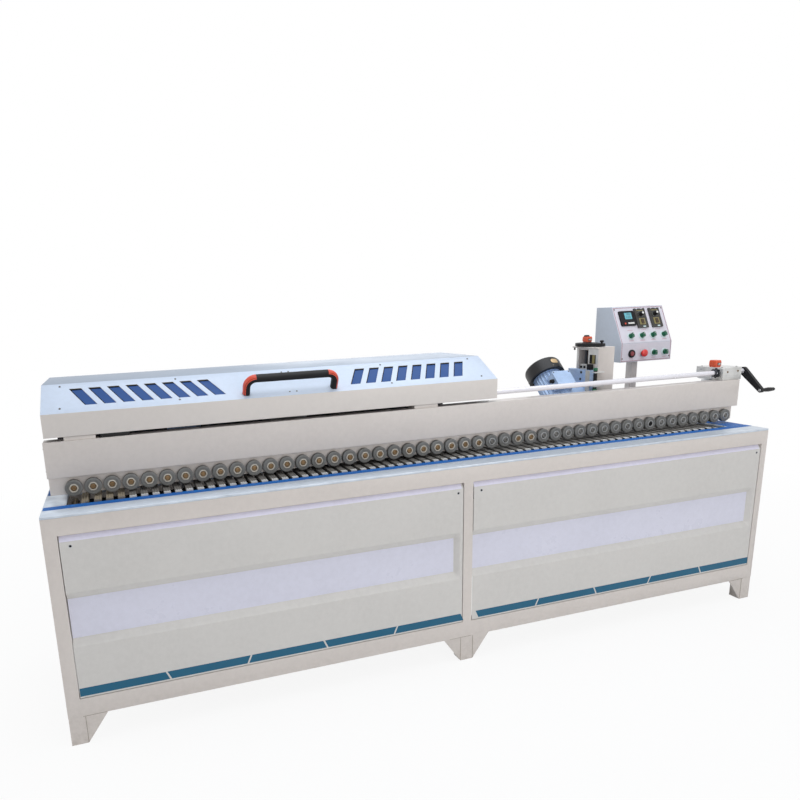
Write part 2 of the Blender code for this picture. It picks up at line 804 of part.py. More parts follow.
def make_units():
    plate_back = back - plate_back_margin
    plate = steel(box(
        "unit_base_plate",
        (left + plate_start, front + plate_front, table_height + seat_gap),
        (right - plate_end_inset - 0.12, plate_back, plate_top),
    ))
    join(plate, box(
        "rear_guard", (hood_left + sheet, plate_back - guard_thickness, plate_top - 0.001),
        (hood_right - sheet, plate_back, beam_high - guard_gap),
    ))
    standing = plate_top + seat_gap

    at = left + premill_at
    cutter_y = front + board_edge + premill_cutter_radius
    motor_low, motor_high = table_height + 0.105, table_height + 0.335
    motor = finish(rod(
        "premill_motor", (at, cutter_y, motor_low), (at, cutter_y, motor_high), premill_motor_radius, 20
    ), (0.30, 0.42, 0.60), 0.4)
    join(motor, box(
        "bracket", (at - 0.05, cutter_y + premill_motor_radius - 0.012, standing),
        (at + 0.05, cutter_y + premill_motor_radius + 0.03, motor_high - 0.03),
    ))
    cutter = steel(prism(
        "premill_cutter", [toothed(6, premill_cutter_radius, premill_cutter_radius - 0.012)], FLAT,
        standing + 0.002, standing + 0.047, place=(at, cutter_y, 0),
    ))
    join(cutter, rod(
        "spindle", (0, 0, standing + 0.03), (0, 0, motor_low - seat_gap), 0.012, 16, place=(at, cutter_y, 0)
    ))

    pot_at = left + glue_pot_at
    pot_front = front + board_edge + 2 * glue_roller_radius + 0.012
    roller_top = standing + 0.060
    pot = finish(box(
        "glue_pot", (pot_at - 0.08, pot_front, standing), (pot_at + 0.08, pot_front + 0.15, standing + 0.25)
    ), (0.45, 0.46, 0.47), 0.4, 0.8)
    join(pot, box(
        "nose", (pot_at - 0.05, front + board_edge + 0.004, roller_top + 0.020),
        (pot_at + 0.05, pot_front + 0.01, roller_top + 0.055),
    ))
    cut(pot, box(
        "reservoir", (pot_at - 0.07, pot_front + 0.01, standing + 0.09), (pot_at + 0.07, pot_front + 0.14, standing + 0.4)
    ))
    glue_y = front + board_edge + glue_roller_radius
    roller = steel(rod(
        "glue_roller", (0, 0, standing + 0.002), (0, 0, roller_top), glue_roller_radius, 20, place=(pot_at, glue_y, 0)
    ))
    join(roller, rod("neck", (0, 0, roller_top - 0.01), (0, 0, roller_top + 0.0197), 0.010, 12, place=(pot_at, glue_y, 0)))


# ---------------------------------------------------------------- finishing unit

def make_finishing_unit():
    column_right = column_left + column_width
    column_low = plate_top + seat_gap
    column = paint(box(
        "slide_column", (column_left, front + column_front, column_low),
        (column_right, front + column_front + column_depth, column_top),
    ))
    channel_low, channel_high = column_low + 0.02, column_top - 0.010
    cut(column, box(
        "channel", (column_left - 0.1, slide_screw_y - channel_width / 2, channel_low),
        (column_left + channel_depth, slide_screw_y + channel_width / 2, channel_high),
    ))
    cap = box(
        "cap", (column_left - 0.012, front + column_front, column_top - 0.001),
        (column_right, front + column_front + column_depth + 0.020, column_top + 0.006),
    )
    join(column, cap)
    screw_x, screw_y = slide_screw_x, slide_screw_y
    cut(column, rod(
        "screw_hole", (screw_x, screw_y, channel_high - 0.03), (screw_x, screw_y, column_top + 0.1),
        slide_screw_radius + running_gap,
    ))

    lever_low = column_top + 0.009
    lever_high = lever_low + 0.0145
    knob_x, knob_y = 0.010, -0.087
    lever = blackened(prism(
        "slide_crank", [tapered_bar((0, 0), (knob_x, knob_y), 0.054, 0.016)], FLAT,
        lever_low, lever_high, place=(screw_x, screw_y, 0),
    ))
    join(
        lever,
        rod("screw", (0, 0, channel_low + 0.004), (0, 0, lever_low + 0.004), slide_screw_radius, 12,
            place=(screw_x, screw_y, 0)),
        rod("boss", (0, 0, lever_high - 0.001), (0, 0, lever_high + 0.0045), 0.018, 16, place=(screw_x, screw_y, 0)),
        rod("knob", (knob_x, knob_y, lever_high - 0.002), (knob_x, knob_y, lever_high + 0.014), 0.008, 12,
            place=(screw_x, screw_y, 0)),
    )
    counter_low = lever_high + 0.0048
    finish(box(
        "slide_indicator", (-0.017, -0.019, counter_low), (0.017, 0.019, counter_low + 0.0255),
        place=(screw_x, screw_y, 0),
    ), (0.75, 0.10, 0.03), 0.4)

    plate_face = column_left - 0.0008
    carriage_low = table_height + 0.140
    carriage_high = carriage_low + 0.148
    carriage = finish(box(
        "slide_carriage", (plate_face - 0.022, screw_y - 0.078, carriage_low), (plate_face, screw_y + 0.078, carriage_high)
    ), (0.42, 0.52, 0.66), 0.35, 0.3)
    join(carriage, box(
        "nut_block", (plate_face - 0.005, screw_y - 0.025, carriage_low + 0.06),
        (screw_x + 0.020, screw_y + 0.025, carriage_high - 0.01),
    ))
    cut(carriage, rod(
        "nut_bore", (screw_x, screw_y, carriage_low - 0.1), (screw_x, screw_y, carriage_high + 0.1),
        slide_screw_radius + running_gap,
    ))

    pivot = (motor_x, front + motor_foot_y, table_height + motor_foot_height)
    tilt = (motor_tilt, 0, 0)
    body_low, body_high = 0.098, motor_length - 0.060
    body = finish(turned(
        "finishing_motor",
        [(0, body_high), (motor_radius - 0.004, body_high), (motor_radius, body_high - 0.006),
         (motor_radius, body_low + 0.012), (0.052, body_low + 0.010), (0.052, body_low - 0.026),
         (0, body_low - 0.026)],
        24, place=pivot, turn=tilt,
    ), (0.38, 0.50, 0.68), 0.4, 0.3)
    join(body, box(
        "terminal_box", (-0.052, -motor_radius - 0.028, 0.176), (0.048, -motor_radius + 0.025, 0.263),
        place=pivot, turn=tilt,
    ))
    arm_reach = plate_face - 0.022 - seat_gap - motor_x
    join(body, box(
        "clamp_arm", (0.030, -0.040, 0.138), (arm_reach, 0.040, 0.233), place=pivot, turn=tilt,
    ))
    wall = 0.0025
    cover_high = motor_length
    cover_low = cover_high - fan_cover_length
    blackened(turned(
        "motor_fan_cover",
        [(0, cover_high), (fan_cover_radius - 0.014, cover_high), (fan_cover_radius, cover_high - 0.014),
         (fan_cover_radius, cover_low - 0.012), (motor_radius + 0.002, cover_low - 0.012),
         (motor_radius + 0.002, cover_low - 0.009), (fan_cover_radius - wall, cover_low - 0.009),
         (fan_cover_radius - wall, cover_high - 0.015), (fan_cover_radius - 0.015, cover_high - wall),
         (0, cover_high - wall)],
        24, place=pivot, turn=tilt,
    ))
    spindle_top = body_low - 0.026 - seat_gap
    steel(turned(
        "finishing_cutter",
        [(0, spindle_top), (0.010, spindle_top), (0.010, 0.034), (cutter_radius, 0.034), (cutter_radius, 0), (0, 0)],
        20, place=pivot, turn=tilt,
    ))


# ---------------------------------------------------------------- control box

def on_slope(x, up, out=0.0):
    """A point on the box's sloping face: up the slope, and out from it."""
    return (
        x,
        box_front + up * math.cos(panel_angle) - out * math.sin(panel_angle),
        bend_height + up * math.sin(panel_angle) + out * math.cos(panel_angle),
    )


def make_controls():
    post_x = box_left + box_width / 2 + control_post_shift
    half = control_post_side / 2
    post_middle = back - post_front_from_back + half
    post = paint(box(
        "control_post", (post_x - half, post_middle - half, table_height + seat_gap),
        (post_x + half, post_middle + half, box_low - seat_gap),
    ))
    cut(post, box(
        "bore", (post_x - half + 0.003, post_middle - half + 0.003, table_height - 0.1),
        (post_x + half - 0.003, post_middle + half - 0.003, box_low + 0.1),
    ))

    face_y = box_front
    rear_y = box_back
    top = bend_height + box_slope_rise
    section = [
        (face_y, box_low), (face_y, bend_height), (face_y + box_slope_run, top), (rear_y, top), (rear_y, box_low)
    ]
    case = finish(prism("control_box", [section], ENDWISE, box_left, box_left + box_width), (0.62, 0.64, 0.66), 0.4)
    lean_in = box_wall * math.tan((math.pi / 2 - panel_angle) / 2)
    hollow = [
        (face_y + box_wall, box_low + box_wall),
        (face_y + box_wall, bend_height - lean_in),
        (face_y + box_slope_run + box_wall * math.tan(panel_angle / 2), top - box_wall),
        (rear_y - box_wall, top - box_wall),
        (rear_y - box_wall, box_low + box_wall),
    ]
    cut(case, prism("hollow", [hollow], ENDWISE, box_left + box_wall, box_left + box_width - box_wall))
    cut(case, rod("cable_hole", (post_x, post_middle, box_low - 0.02), (post_x, post_middle, box_low + 0.02), 0.012))

    slope_turn = (panel_angle, 0, 0)
    face_turn = (math.radians(90), 0, 0)
    makers = (
        ("temperature_controller", temperature_at, temperature_size),
        ("speed_controller_left", speed_at[0], speed_size),
        ("speed_controller_right", speed_at[1], speed_size),
    )
    inset = 0.004                   # of a controller's body inside its bezel
    margin = inset - 0.0006
    for name, (offset, up), (width, height) in makers:
        place = on_slope(box_left + offset, up)
        half_width, half_height = width / 2, height / 2
        unit = blackened(box(
            name, (-half_width, -half_height, seat_gap), (half_width, half_height, bezel_height), place, slope_turn
        ))
        join(unit, box(
            "body", (-half_width + inset, -half_height + inset, -body_depth),
            (half_width - inset, half_height - inset, bezel_height / 2), place, slope_turn,
        ))
        cut(case, box(
            "cut_out", (-half_width + margin, -half_height + margin, -0.02),
            (half_width - margin, half_height - margin, 0.02), place, slope_turn,
        ))
    for side, (offset, up) in zip(("left", "right"), speed_at):
        place = on_slope(box_left + offset, up + dial_rise, bezel_height + seat_gap)
        knob = blackened(rod(f"speed_knob_{side}", (0, 0, 0), (0, 0, 0.012), 0.0115, 16, place, slope_turn))
        join(knob, box("ridge", (-0.003, -0.010, 0.006), (0.003, 0.010, 0.017), place, slope_turn))

    lower_height = box_low + lower_row
    columns = [box_left + first_control + control_pitch * index for index in range(4)]
    stations = [(on_slope(x, upper_row, seat_gap), slope_turn) for x in columns]
    stations += [((x, face_y - seat_gap, lower_height), face_turn) for x in columns[2:]]
    for index, (place, turn) in enumerate(stations):
        knob = finish(rod(
            f"selector_switch_{index + 1}", (0, 0, 0), (0, 0, selector_height / 2), selector_radius, 16, place, turn
        ), (0.0, 0.10, 0.05), 0.35)
        join(knob, box(
            "lever", (-0.004, -selector_radius + 0.001, 0.004), (0.004, selector_radius - 0.001, selector_height),
            place, turn,
        ))

    start_at = (columns[0], face_y, lower_height)
    finish(rod(
        "start_button", (0, 0, -0.012), (0, 0, 0.009), button_radius, 16, start_at, face_turn
    ), (0.40, 0.02, 0.03), 0.3)
    cut(case, rod("button_hole", (0, 0, -0.01), (0, 0, 0.01), button_radius + 0.0008, 16, start_at, face_turn))
    stop_at = (columns[1], face_y, lower_height)
    stem = 0.008
    finish(turned(
        "emergency_stop",
        [(0, 0.024), (stop_radius - 0.005, 0.022), (stop_radius, 0.017), (stop_radius, 0.011), (stem, 0.009),
         (stem, -0.014), (0, -0.014)],
        20, stop_at, face_turn,
    ), (0.62, 0.03, 0.05), 0.3)
    cut(case, rod("stop_hole", (0, 0, -0.01), (0, 0, 0.01), stem + 0.0008, 16, stop_at, face_turn))


def main():
    for thing in list(bpy.data.objects):
        bpy.data.objects.remove(thing)
    bpy.context.scene.collection.children.link(parts)
    bpy.context.scene.collection.children.link(tools)
    tools.hide_render = True
    make_cabinet()
    make_conveyor()
    make_beam()
    make_hood()
    make_units()
    make_finishing_unit()
    make_controls()


main()
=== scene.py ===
"""The finishes and fine shapes of an edge banding machine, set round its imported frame.

The machine's front faces -Y and boards travel towards +X. Sizes are in metres, and places
come from the frame's own nodes. Each shape is worked out as whole numpy arrays.
"""

import json
import math

import bmesh
import bpy
import numpy as np
from mathutils import Matrix, Vector


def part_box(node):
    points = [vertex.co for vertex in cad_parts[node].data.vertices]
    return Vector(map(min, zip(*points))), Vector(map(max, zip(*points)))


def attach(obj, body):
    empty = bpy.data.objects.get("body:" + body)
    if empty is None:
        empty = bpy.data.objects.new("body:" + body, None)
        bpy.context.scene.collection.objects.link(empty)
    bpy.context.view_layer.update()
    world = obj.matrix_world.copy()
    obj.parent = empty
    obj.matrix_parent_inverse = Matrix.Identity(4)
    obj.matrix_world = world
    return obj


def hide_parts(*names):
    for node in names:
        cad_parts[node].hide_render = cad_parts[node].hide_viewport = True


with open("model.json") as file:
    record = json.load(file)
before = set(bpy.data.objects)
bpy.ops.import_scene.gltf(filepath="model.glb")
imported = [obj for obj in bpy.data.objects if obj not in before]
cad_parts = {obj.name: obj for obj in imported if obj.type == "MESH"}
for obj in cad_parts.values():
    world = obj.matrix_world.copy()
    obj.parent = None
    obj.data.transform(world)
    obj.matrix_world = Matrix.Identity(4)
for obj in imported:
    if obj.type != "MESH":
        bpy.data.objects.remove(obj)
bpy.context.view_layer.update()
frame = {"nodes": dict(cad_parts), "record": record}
nodes = frame["nodes"]
behaviour = frame["record"]["behaviour"]
body_of = {node: body for body, members in behaviour["bodies"].items() for node in members}
chance = np.random.default_rng(7)

# Axes for a shape whose own Z is to point up, to the front, the back, the right or the left.
UPWARDS = np.eye(3)
FORWARDS = np.array([(1, 0, 0), (0, 0, -1), (0, 1, 0)], float)
BACKWARDS = np.array([(-1, 0, 0), (0, 0, 1), (0, 1, 0)], float)
SIDEWAYS = np.array([(0, 0, 1), (1, 0, 0), (0, 1, 0)], float)
LEFTWARDS = np.array([(0, 0, -1), (-1, 0, 0), (0, 1, 0)], float)


# ---------------------------------------------------------------- shapes

def skin(grid, ring=False, loop=False, ends=False):
    """Quads over a grid of points. ring joins each row's last point to its first, loop joins
    the last row to the first, and ends closes the first and last rows with one face each."""
    rows, columns = grid.shape[:2]
    number = np.arange(rows * columns).reshape(rows, columns)
    around = np.hstack([number, number[:, :1]]) if ring else number
    around = np.vstack([around, around[:1]]) if loop else around
    quads = (around[:-1, :-1], around[:-1, 1:], around[1:, 1:], around[1:, :-1])
    faces = np.stack(quads, -1).reshape(-1, 4).tolist()
    if ends:
        faces += [number[0, ::-1].tolist(), number[-1].tolist()]
    return grid.reshape(-1, 3), faces


def field(x, y, z):
    """A grid of points from arrays of X, Y and Z that spread over one another."""
    return np.stack(np.broadcast_arrays(x, y, z), -1)


def turned(profile, sides=28, lobes=0, lobe=0.0, start=0.0):
    """A profile of (radius, height) turned round Z: x = r cos t, y = r sin t, z = h, with the
    radius times 1 + lobe cos(lobes t). A profile that starts and ends off the axis is a ring."""
    radius, height = np.array(profile, float).T
    turn = start + np.linspace(0, math.tau, sides, endpoint=False)
    spread = 1 + lobe * np.cos(lobes * turn)
    radii = np.outer(radius, spread)
    grid = field(radii * np.cos(turn), radii * np.sin(turn), height[:, None])
    on_axis = radius[0] < 1e-9 and radius[-1] < 1e-9
    return skin(grid[1:-1], ring=True, ends=True) if on_axis else skin(grid, ring=True, loop=True)


def drawn(outline, low, high):
    """An outline in X and Y carried straight up from Z low to Z high, with both ends closed."""
    flat = np.array(outline, float)
    rows = [np.column_stack([flat, np.full(len(flat), z)]) for z in (low, high)]
    return skin(np.array(rows), ring=True, ends=True)


def block(low, high):
    """The box between two corners, as the outline of its base carried up to its top."""
    (x0, y0, z0), (x1, y1, z1) = low, high
    return drawn([(x0, y0), (x1, y0), (x1, y1), (x0, y1)], z0, z1)


def folded(grid, back):
    """A sheet of metal: a grid's surface, the same surface set back by a vector, and the
    border strips between the two."""
    rows, columns = grid.shape[:2]
    points, faces = skin(grid)
    number = np.arange(rows * columns).reshape(rows, columns)
    border = np.concatenate([number[0], number[1:, -1], number[-1, -2::-1], number[-2:0:-1, 0]])
    shift = rows * columns
    following = np.roll(border, -1)
    strips = np.stack([border, following, following + shift, border + shift], -1).tolist()
    behind = [[corner + shift for corner in face[::-1]] for face in faces]
    return np.vstack([points, points + np.array(back, float)]), faces + behind + strips


def carried(section, path, side):
    """A closed section carried along a path that lies in the plane square to side: at each
    point, the section's first number goes along the path's normal and its second along side."""
    path, side = np.array(path, float), np.array(side, float)
    along = np.gradient(path, axis=0)
    along /= np.linalg.norm(along, axis=1, keepdims=True)
    normal = np.cross(side, along)
    section = np.array(section, float)
    grid = path[:, None] + normal[:, None] * section[None, :, :1] + side * section[None, :, 1:]
    return skin(grid, ring=True, ends=True)


def moved(shape, place=(0, 0, 0), axes=UPWARDS):
    """The shape turned so that its own X, Y and Z lie along the columns of axes, then placed."""
    points, faces = shape
    return points @ np.array(axes, float).T + np.array(place, float), faces


def fitted(finish, shape, place=(0, 0, 0), axes=UPWARDS):
    """A finish with a shape in its place, as a piece takes them."""
    return finish, moved(shape, place, axes)


def all_fitted(parts, place, axes):
    """Several finishes with their shapes, moved as one."""
    return [fitted(finish, shape, place, axes) for finish, shape in parts]


def together(*shapes):
    """Several shapes as one."""
    points, faces, start = [], [], 0
    for own, own_faces in shapes:
        points.append(own)
        faces += [[corner + start for corner in face] for face in own_faces]
        start += len(own)
    return np.vstack(points), faces


def leaning(angle):
    """Axes turned about X by an angle: Y goes to (cos, sin) and Z to (-sin, cos)."""
    c, s = math.cos(angle), math.sin(angle)
    return np.array([(1, 0, 0), (0, c, -s), (0, s, c)], float)


def rounded(half_x, half_y, radius, steps=4):
    """A rectangle's outline with its corners as arcs."""
    turn = np.linspace(0, math.pi / 2, steps + 1)
    centres = ((1, 1, 0), (-1, 1, 1), (-1, -1, 2), (1, -1, 3))
    arcs = [
        np.column_stack([
            sx * (half_x - radius) + radius * np.cos(turn + quarter * math.pi / 2),
            sy * (half_y - radius) + radius * np.sin(turn + quarter * math.pi / 2),
        ])
        for sx, sy, quarter in centres
    ]
    return np.vstack(arcs)


def oval(half_x, half_y, sides=20):
    """An ellipse's outline."""
    turn = np.linspace(0, math.tau, sides, endpoint=False)
    return np.column_stack([half_x * np.cos(turn), half_y * np.sin(turn)])


def screw_head(radius, height):
    """A domed head with a round socket sunk in it."""
    socket = radius * 0.48
    profile = [
        (0, 0), (radius, 0), (radius, height * 0.55), (radius * 0.86, height * 0.9),
        (radius * 0.6, height), (socket, height), (socket * 0.9, height * 0.35), (0, height * 0.35),
    ]
    return turned(profile, 16)


def barrel(inner, outer, low, high, sides, lobes=0, lobe=0.0):
    """A plain ring from one height to another, or a rod where inner is 0."""
    return turned([(inner, low), (outer, low), (outer, high), (inner, high)], sides, lobes, lobe)


def place_mesh(name, body, mesh, stands_for, bevel, segments):
    """Puts a finished mesh in the scene on its body, with its edges rounded if bevel is set."""
    sharp = math.radians(32)
    mesh.shade_smooth()
    made = bpy.data.objects.new(name, mesh)
    bpy.context.scene.collection.objects.link(made)
    if bevel:
        rounding = made.modifiers.new("rounded_edges", "BEVEL")
        rounding.width = bevel
        rounding.segments = segments
        rounding.limit_method = "ANGLE"
        rounding.angle_limit = sharp
        rounding.harden_normals = True
    else:
        mesh.set_sharp_from_angle(angle=sharp)
    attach(made, body)
    if stands_for:
        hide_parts(*stands_for)
    return made


def piece(name, body, parts, stands_for=(), bevel=0.0, segments=2):
    """One object from a list of (finish, shape). Every shape is closed and is turned outwards."""
    finishes, which = [], []
    for finish, (_, faces) in parts:
        if finish not in finishes:
            finishes.append(finish)
        which += [finishes.index(finish)] * len(faces)
    points, faces = together(*(shape for _, shape in parts))
    mesh = bpy.data.meshes.new(name)
    mesh.from_pydata(points.tolist(), [], faces)
    mesh.polygons.foreach_set("material_index", which)
    for finish in finishes:
        mesh.materials.append(finish)
    work = bmesh.new()
    work.from_mesh(mesh)
    bmesh.ops.recalc_face_normals(work, faces=work.faces)
    work.to_mesh(mesh)
    work.free()
    return place_mesh(name, body, mesh, stands_for, bevel, segments)


def softened(node, finish, width=0.0012, segments=2, also=()):
    """The frame's own solid with its doubles merged, its flat faces whole and its edges rounded.
    A pair (finish, chosen) in also gives another finish to the faces that chosen picks."""
    work = bmesh.new()
    work.from_mesh(nodes[node].data)
    bmesh.ops.remove_doubles(work, verts=work.verts, dist=1e-5)
    bmesh.ops.dissolve_limit(work, angle_limit=math.radians(1), verts=work.verts, edges=work.edges)
    mesh = bpy.data.meshes.new(f"{node}_surface")
    work.to_mesh(mesh)
    work.free()
    mesh.materials.clear()
    mesh.materials.append(finish)
    for index, (other, chosen) in enumerate(also, 1):
        mesh.materials.append(other)
        for face in mesh.polygons:
            if chosen(np.array(face.center), np.array(face.normal)):
                face.material_index = index
    return place_mesh(mesh.name, body_of[node], mesh, [node], width, segments)


def corners(node):
    """A node's lowest and highest corners as arrays."""
    low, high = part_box(node)
    return np.array(low), np.array(high)


def middle_of(node):
    """The middle of a node's box."""
    low, high = corners(node)
    return (low + high) / 2


# ---------------------------------------------------------------- finishes

def tone(red, green, blue):
    """A display colour, 0 to 255 for each part, as linear light."""
    parts = np.array([red, green, blue]) / 255
    linear = np.where(parts <= 0.04045, parts / 12.92, ((parts + 0.055) / 1.055) ** 2.4)
    return (*linear.tolist(), 1.0)


def add(tree, kind, inputs=(), **settings):
    """A node of this kind. inputs maps a socket to a value or to the socket that feeds it."""
    made = tree.nodes.new("ShaderNode" + kind)
    for key, value in settings.items():
        setattr(made, key, value)
    for key, value in dict(inputs).items():
        if isinstance(value, bpy.types.NodeSocket):
            tree.links.new(value, made.inputs[key])
        else:
            made.inputs[key].default_value = value
    return made


def maths(tree, operation, first, second, **settings):
    """What a Math node puts out for two values or sockets."""
    return add(tree, "Math", {0: first, 1: second}, operation=operation, **settings).outputs[0]


def ranged(tree, value, span, to):
    """A value carried from one span of numbers to another, and held at that one's ends."""
    return add(tree, "MapRange", {0: value, 1: span[0], 2: span[1], 3: to[0], 4: to[1]}).outputs[0]


def effect(name, inputs, outputs):
    """An empty shared group with named sockets. Returns its tree and what its inputs put out."""
    tree = bpy.data.node_groups.new(name, "ShaderNodeTree")
    for label, kind, value in inputs:
        socket = tree.interface.new_socket(label, in_out="INPUT", socket_type="NodeSocket" + kind)
        if value is not None:
            socket.default_value = value
    for label, kind in outputs:
        tree.interface.new_socket(label, in_out="OUTPUT", socket_type="NodeSocket" + kind)
    return tree, tree.nodes.new("NodeGroupInput").outputs


def give(tree, **values):
    """Feeds a group's outputs, whose names are written here with _ for a space."""
    out = tree.nodes.new("NodeGroupOutput")
    for label, socket in values.items():
        tree.links.new(socket, out.inputs[label.replace("_", " ")])


def make_weathering():
    """Handling marks and dust: broad patches darken the colour and dull the gloss, dust settles
    where a noise is high and where the surface faces up, and dirt rises from the floor."""
    tree, given = effect(
        "weathering",
        [("Vector", "Vector", None), ("Color", "Color", (0.8, 0.8, 0.8, 1)),
         ("Dust Color", "Color", tone(150, 138, 118)), ("Roughness", "Float", 0.4),
         ("Patches", "Float", 0.06), ("Dust", "Float", 0.1), ("Gloss Change", "Float", 0.12)],
        [("Color", "Color"), ("Roughness", "Float")],
    )
    place = given["Vector"]
    broad = add(tree, "TexNoise", {"Vector": place, "Scale": 3.1, "Detail": 5.0, "Roughness": 0.62})
    close = add(tree, "TexNoise", {"Vector": place, "Scale": 46.0, "Detail": 6.0, "Roughness": 0.7})
    both = maths(tree, "MULTIPLY", broad.outputs["Fac"], close.outputs["Fac"])
    spread = ranged(tree, both, (0.16, 0.36), (0.0, 1.0))
    share = maths(tree, "MULTIPLY", spread, given["Patches"])
    keep = maths(tree, "SUBTRACT", 1.0, share)
    shaded = add(tree, "VectorMath", {0: given["Color"], "Scale": keep}, operation="SCALE")
    facing = add(tree, "NewGeometry")
    upright = add(tree, "SeparateXYZ", {0: facing.outputs["Normal"]})
    flat = ranged(tree, upright.outputs["Z"], (0.2, 0.95), (0.25, 1.0))
    height = add(tree, "SeparateXYZ", {0: given["Vector"]})
    low = ranged(tree, height.outputs["Z"], (0.16, 0.0), (0.0, 2.6))
    where = maths(tree, "ADD", flat, low)
    speck = ranged(tree, close.outputs["Fac"], (0.42, 0.72), (0.1, 1.0))
    settled = maths(tree, "MULTIPLY", where, speck)
    dust = maths(tree, "MULTIPLY", settled, given["Dust"], use_clamp=True)
    colours = {0: dust, 6: shaded.outputs[0], 7: given["Dust Color"]}
    mixed = add(tree, "Mix", colours, data_type="RGBA")
    duller = ranged(tree, broad.outputs["Fac"], (0.3, 0.7), (-0.5, 0.5))
    change = maths(tree, "MULTIPLY", duller, given["Gloss Change"])
    rough = maths(tree, "ADD", given["Roughness"], change)
    dusty = maths(tree, "ADD", rough, dust, use_clamp=True)
    give(tree, Color=mixed.outputs[2], Roughness=dusty)
    return tree


def make_orange_peel():
    """Sprayed paint's skin: a fine noise over a slower waviness of the sheet under it."""
    tree, given = effect(
        "orange_peel", [("Vector", "Vector", None), ("Grain", "Float", 700.0)], [("Height", "Float")],
    )
    fine = add(tree, "TexNoise", {"Vector": given["Vector"], "Scale": given["Grain"], "Detail": 2.0})
    slow = add(tree, "TexNoise", {"Vector": given["Vector"], "Scale": 14.0, "Detail": 1.0})
    part = maths(tree, "MULTIPLY", slow.outputs["Fac"], 5.0)
    total = maths(tree, "ADD", fine.outputs["Fac"], part)
    give(tree, Height=total)
    return tree


def make_brushing():
    """Drawn or ground metal: a noise stretched along one axis gives fine lines in the height,
    the gloss and, faintly, the colour."""
    tree, given = effect(
        "brushing",
        [("Vector", "Vector", None), ("Stretch", "Vector", (8.0, 900.0, 900.0)),
         ("Color", "Color", (0.8, 0.8, 0.8, 1)), ("Roughness", "Float", 0.3)],
        [("Color", "Color"), ("Roughness", "Float"), ("Height", "Float")],
    )
    pulled = add(tree, "VectorMath", {0: given["Vector"], 1: given["Stretch"]}, operation="MULTIPLY")
    lines = add(tree, "TexNoise", {"Vector": pulled.outputs[0], "Scale": 1.0, "Detail": 4.0})
    stain = add(tree, "TexNoise", {"Vector": given["Vector"], "Scale": 19.0, "Detail": 5.0})
    level = ranged(tree, lines.outputs["Fac"], (0.3, 0.7), (0.88, 1.06))
    darker = ranged(tree, stain.outputs["Fac"], (0.35, 0.75), (1.03, 0.8))
    both = maths(tree, "MULTIPLY", level, darker)
    color = add(tree, "VectorMath", {0: given["Color"], "Scale": both}, operation="SCALE")
    spread = ranged(tree, stain.outputs["Fac"], (0.3, 0.7), (-0.06, 0.12))
    rough = maths(tree, "ADD", given["Roughness"], spread, use_clamp=True)
    give(tree, Color=color.outputs[0], Roughness=rough, Height=lines.outputs["Fac"])
    return tree


def make_creases():
    """A loosely stuck film: long soft folds and the cell edges of trapped air."""
    tree, given = effect("creases", [("Vector", "Vector", None)], [("Height", "Float"), ("Pale", "Float")])
    long_way = add(tree, "VectorMath", {0: given["Vector"], 1: (9.0, 42.0, 42.0)}, operation="MULTIPLY")
    folds = add(tree, "TexNoise", {"Vector": long_way.outputs[0], "Scale": 1.0, "Detail": 3.0})
    cells = add(tree, "TexVoronoi", {"Vector": given["Vector"], "Scale": 55.0}, feature="DISTANCE_TO_EDGE")
    edge = ranged(tree, cells.outputs["Distance"], (0.0, 0.08), (0.35, 0.0))
    total = maths(tree, "ADD", folds.outputs["Fac"], edge)
    pale = ranged(tree, total, (0.5, 0.95), (0.0, 0.3))
    give(tree, Height=total, Pale=pale)
    return tree


weathering = make_weathering()
orange_peel = make_orange_peel()
brushing = make_brushing()
creases = make_creases()


def finish_of(name, metallic=0.0, **plain):
    """A new material with one Principled shader, which takes the plain values given."""
    material = bpy.data.materials.new(name)
    material.use_nodes = True
    tree = material.node_tree
    shader = tree.nodes["Principled BSDF"]
    shader.inputs["Metallic"].default_value = metallic
    for label, value in plain.items():
        shader.inputs[label.replace("_", " ")].default_value = value
    return material, tree, shader, add(tree, "TexCoord").outputs["Object"]


def placed(tree, group, inputs):
    """A shared group set in a material's tree with these values."""
    return add(tree, "Group", inputs, node_tree=group)


def surfaced(tree, shader, source, height, depth):
    """Feeds the shader the colour and roughness of a source, and a height as a relief of that
    depth."""
    tree.links.new(source.outputs["Color"], shader.inputs["Base Color"])
    tree.links.new(source.outputs["Roughness"], shader.inputs["Roughness"])
    relief = add(tree, "Bump", {"Height": height, "Distance": depth, "Strength": 1.0})
    tree.links.new(relief.outputs["Normal"], shader.inputs["Normal"])


def paint(name, colour, roughness=0.38, grain=700.0, peel=0.00006, dust=0.08, patches=0.05, **plain):
    """Sprayed or moulded colour: weathered, with a fine skin."""
    material, tree, shader, place = finish_of(name, **plain)
    worn = placed(tree, weathering, {
        "Vector": place, "Color": tone(*colour), "Roughness": roughness, "Dust": dust, "Patches": patches,
    })
    pimples = placed(tree, orange_peel, {"Vector": place, "Grain": grain})
    surfaced(tree, shader, worn, pimples.outputs["Height"], peel)
    return material


def metal(name, colour, roughness=0.3, metallic=1.0, stretch=(8.0, 900.0, 900.0), depth=0.00003, **plain):
    """Bare metal with fine lines along the axis that stretch leaves slow."""
    material, tree, shader, place = finish_of(name, metallic=metallic, **plain)
    lined = placed(tree, brushing, {
        "Vector": place, "Stretch": stretch, "Color": tone(*colour), "Roughness": roughness,
    })
    surfaced(tree, shader, lined, lined.outputs["Height"], depth)
    return material


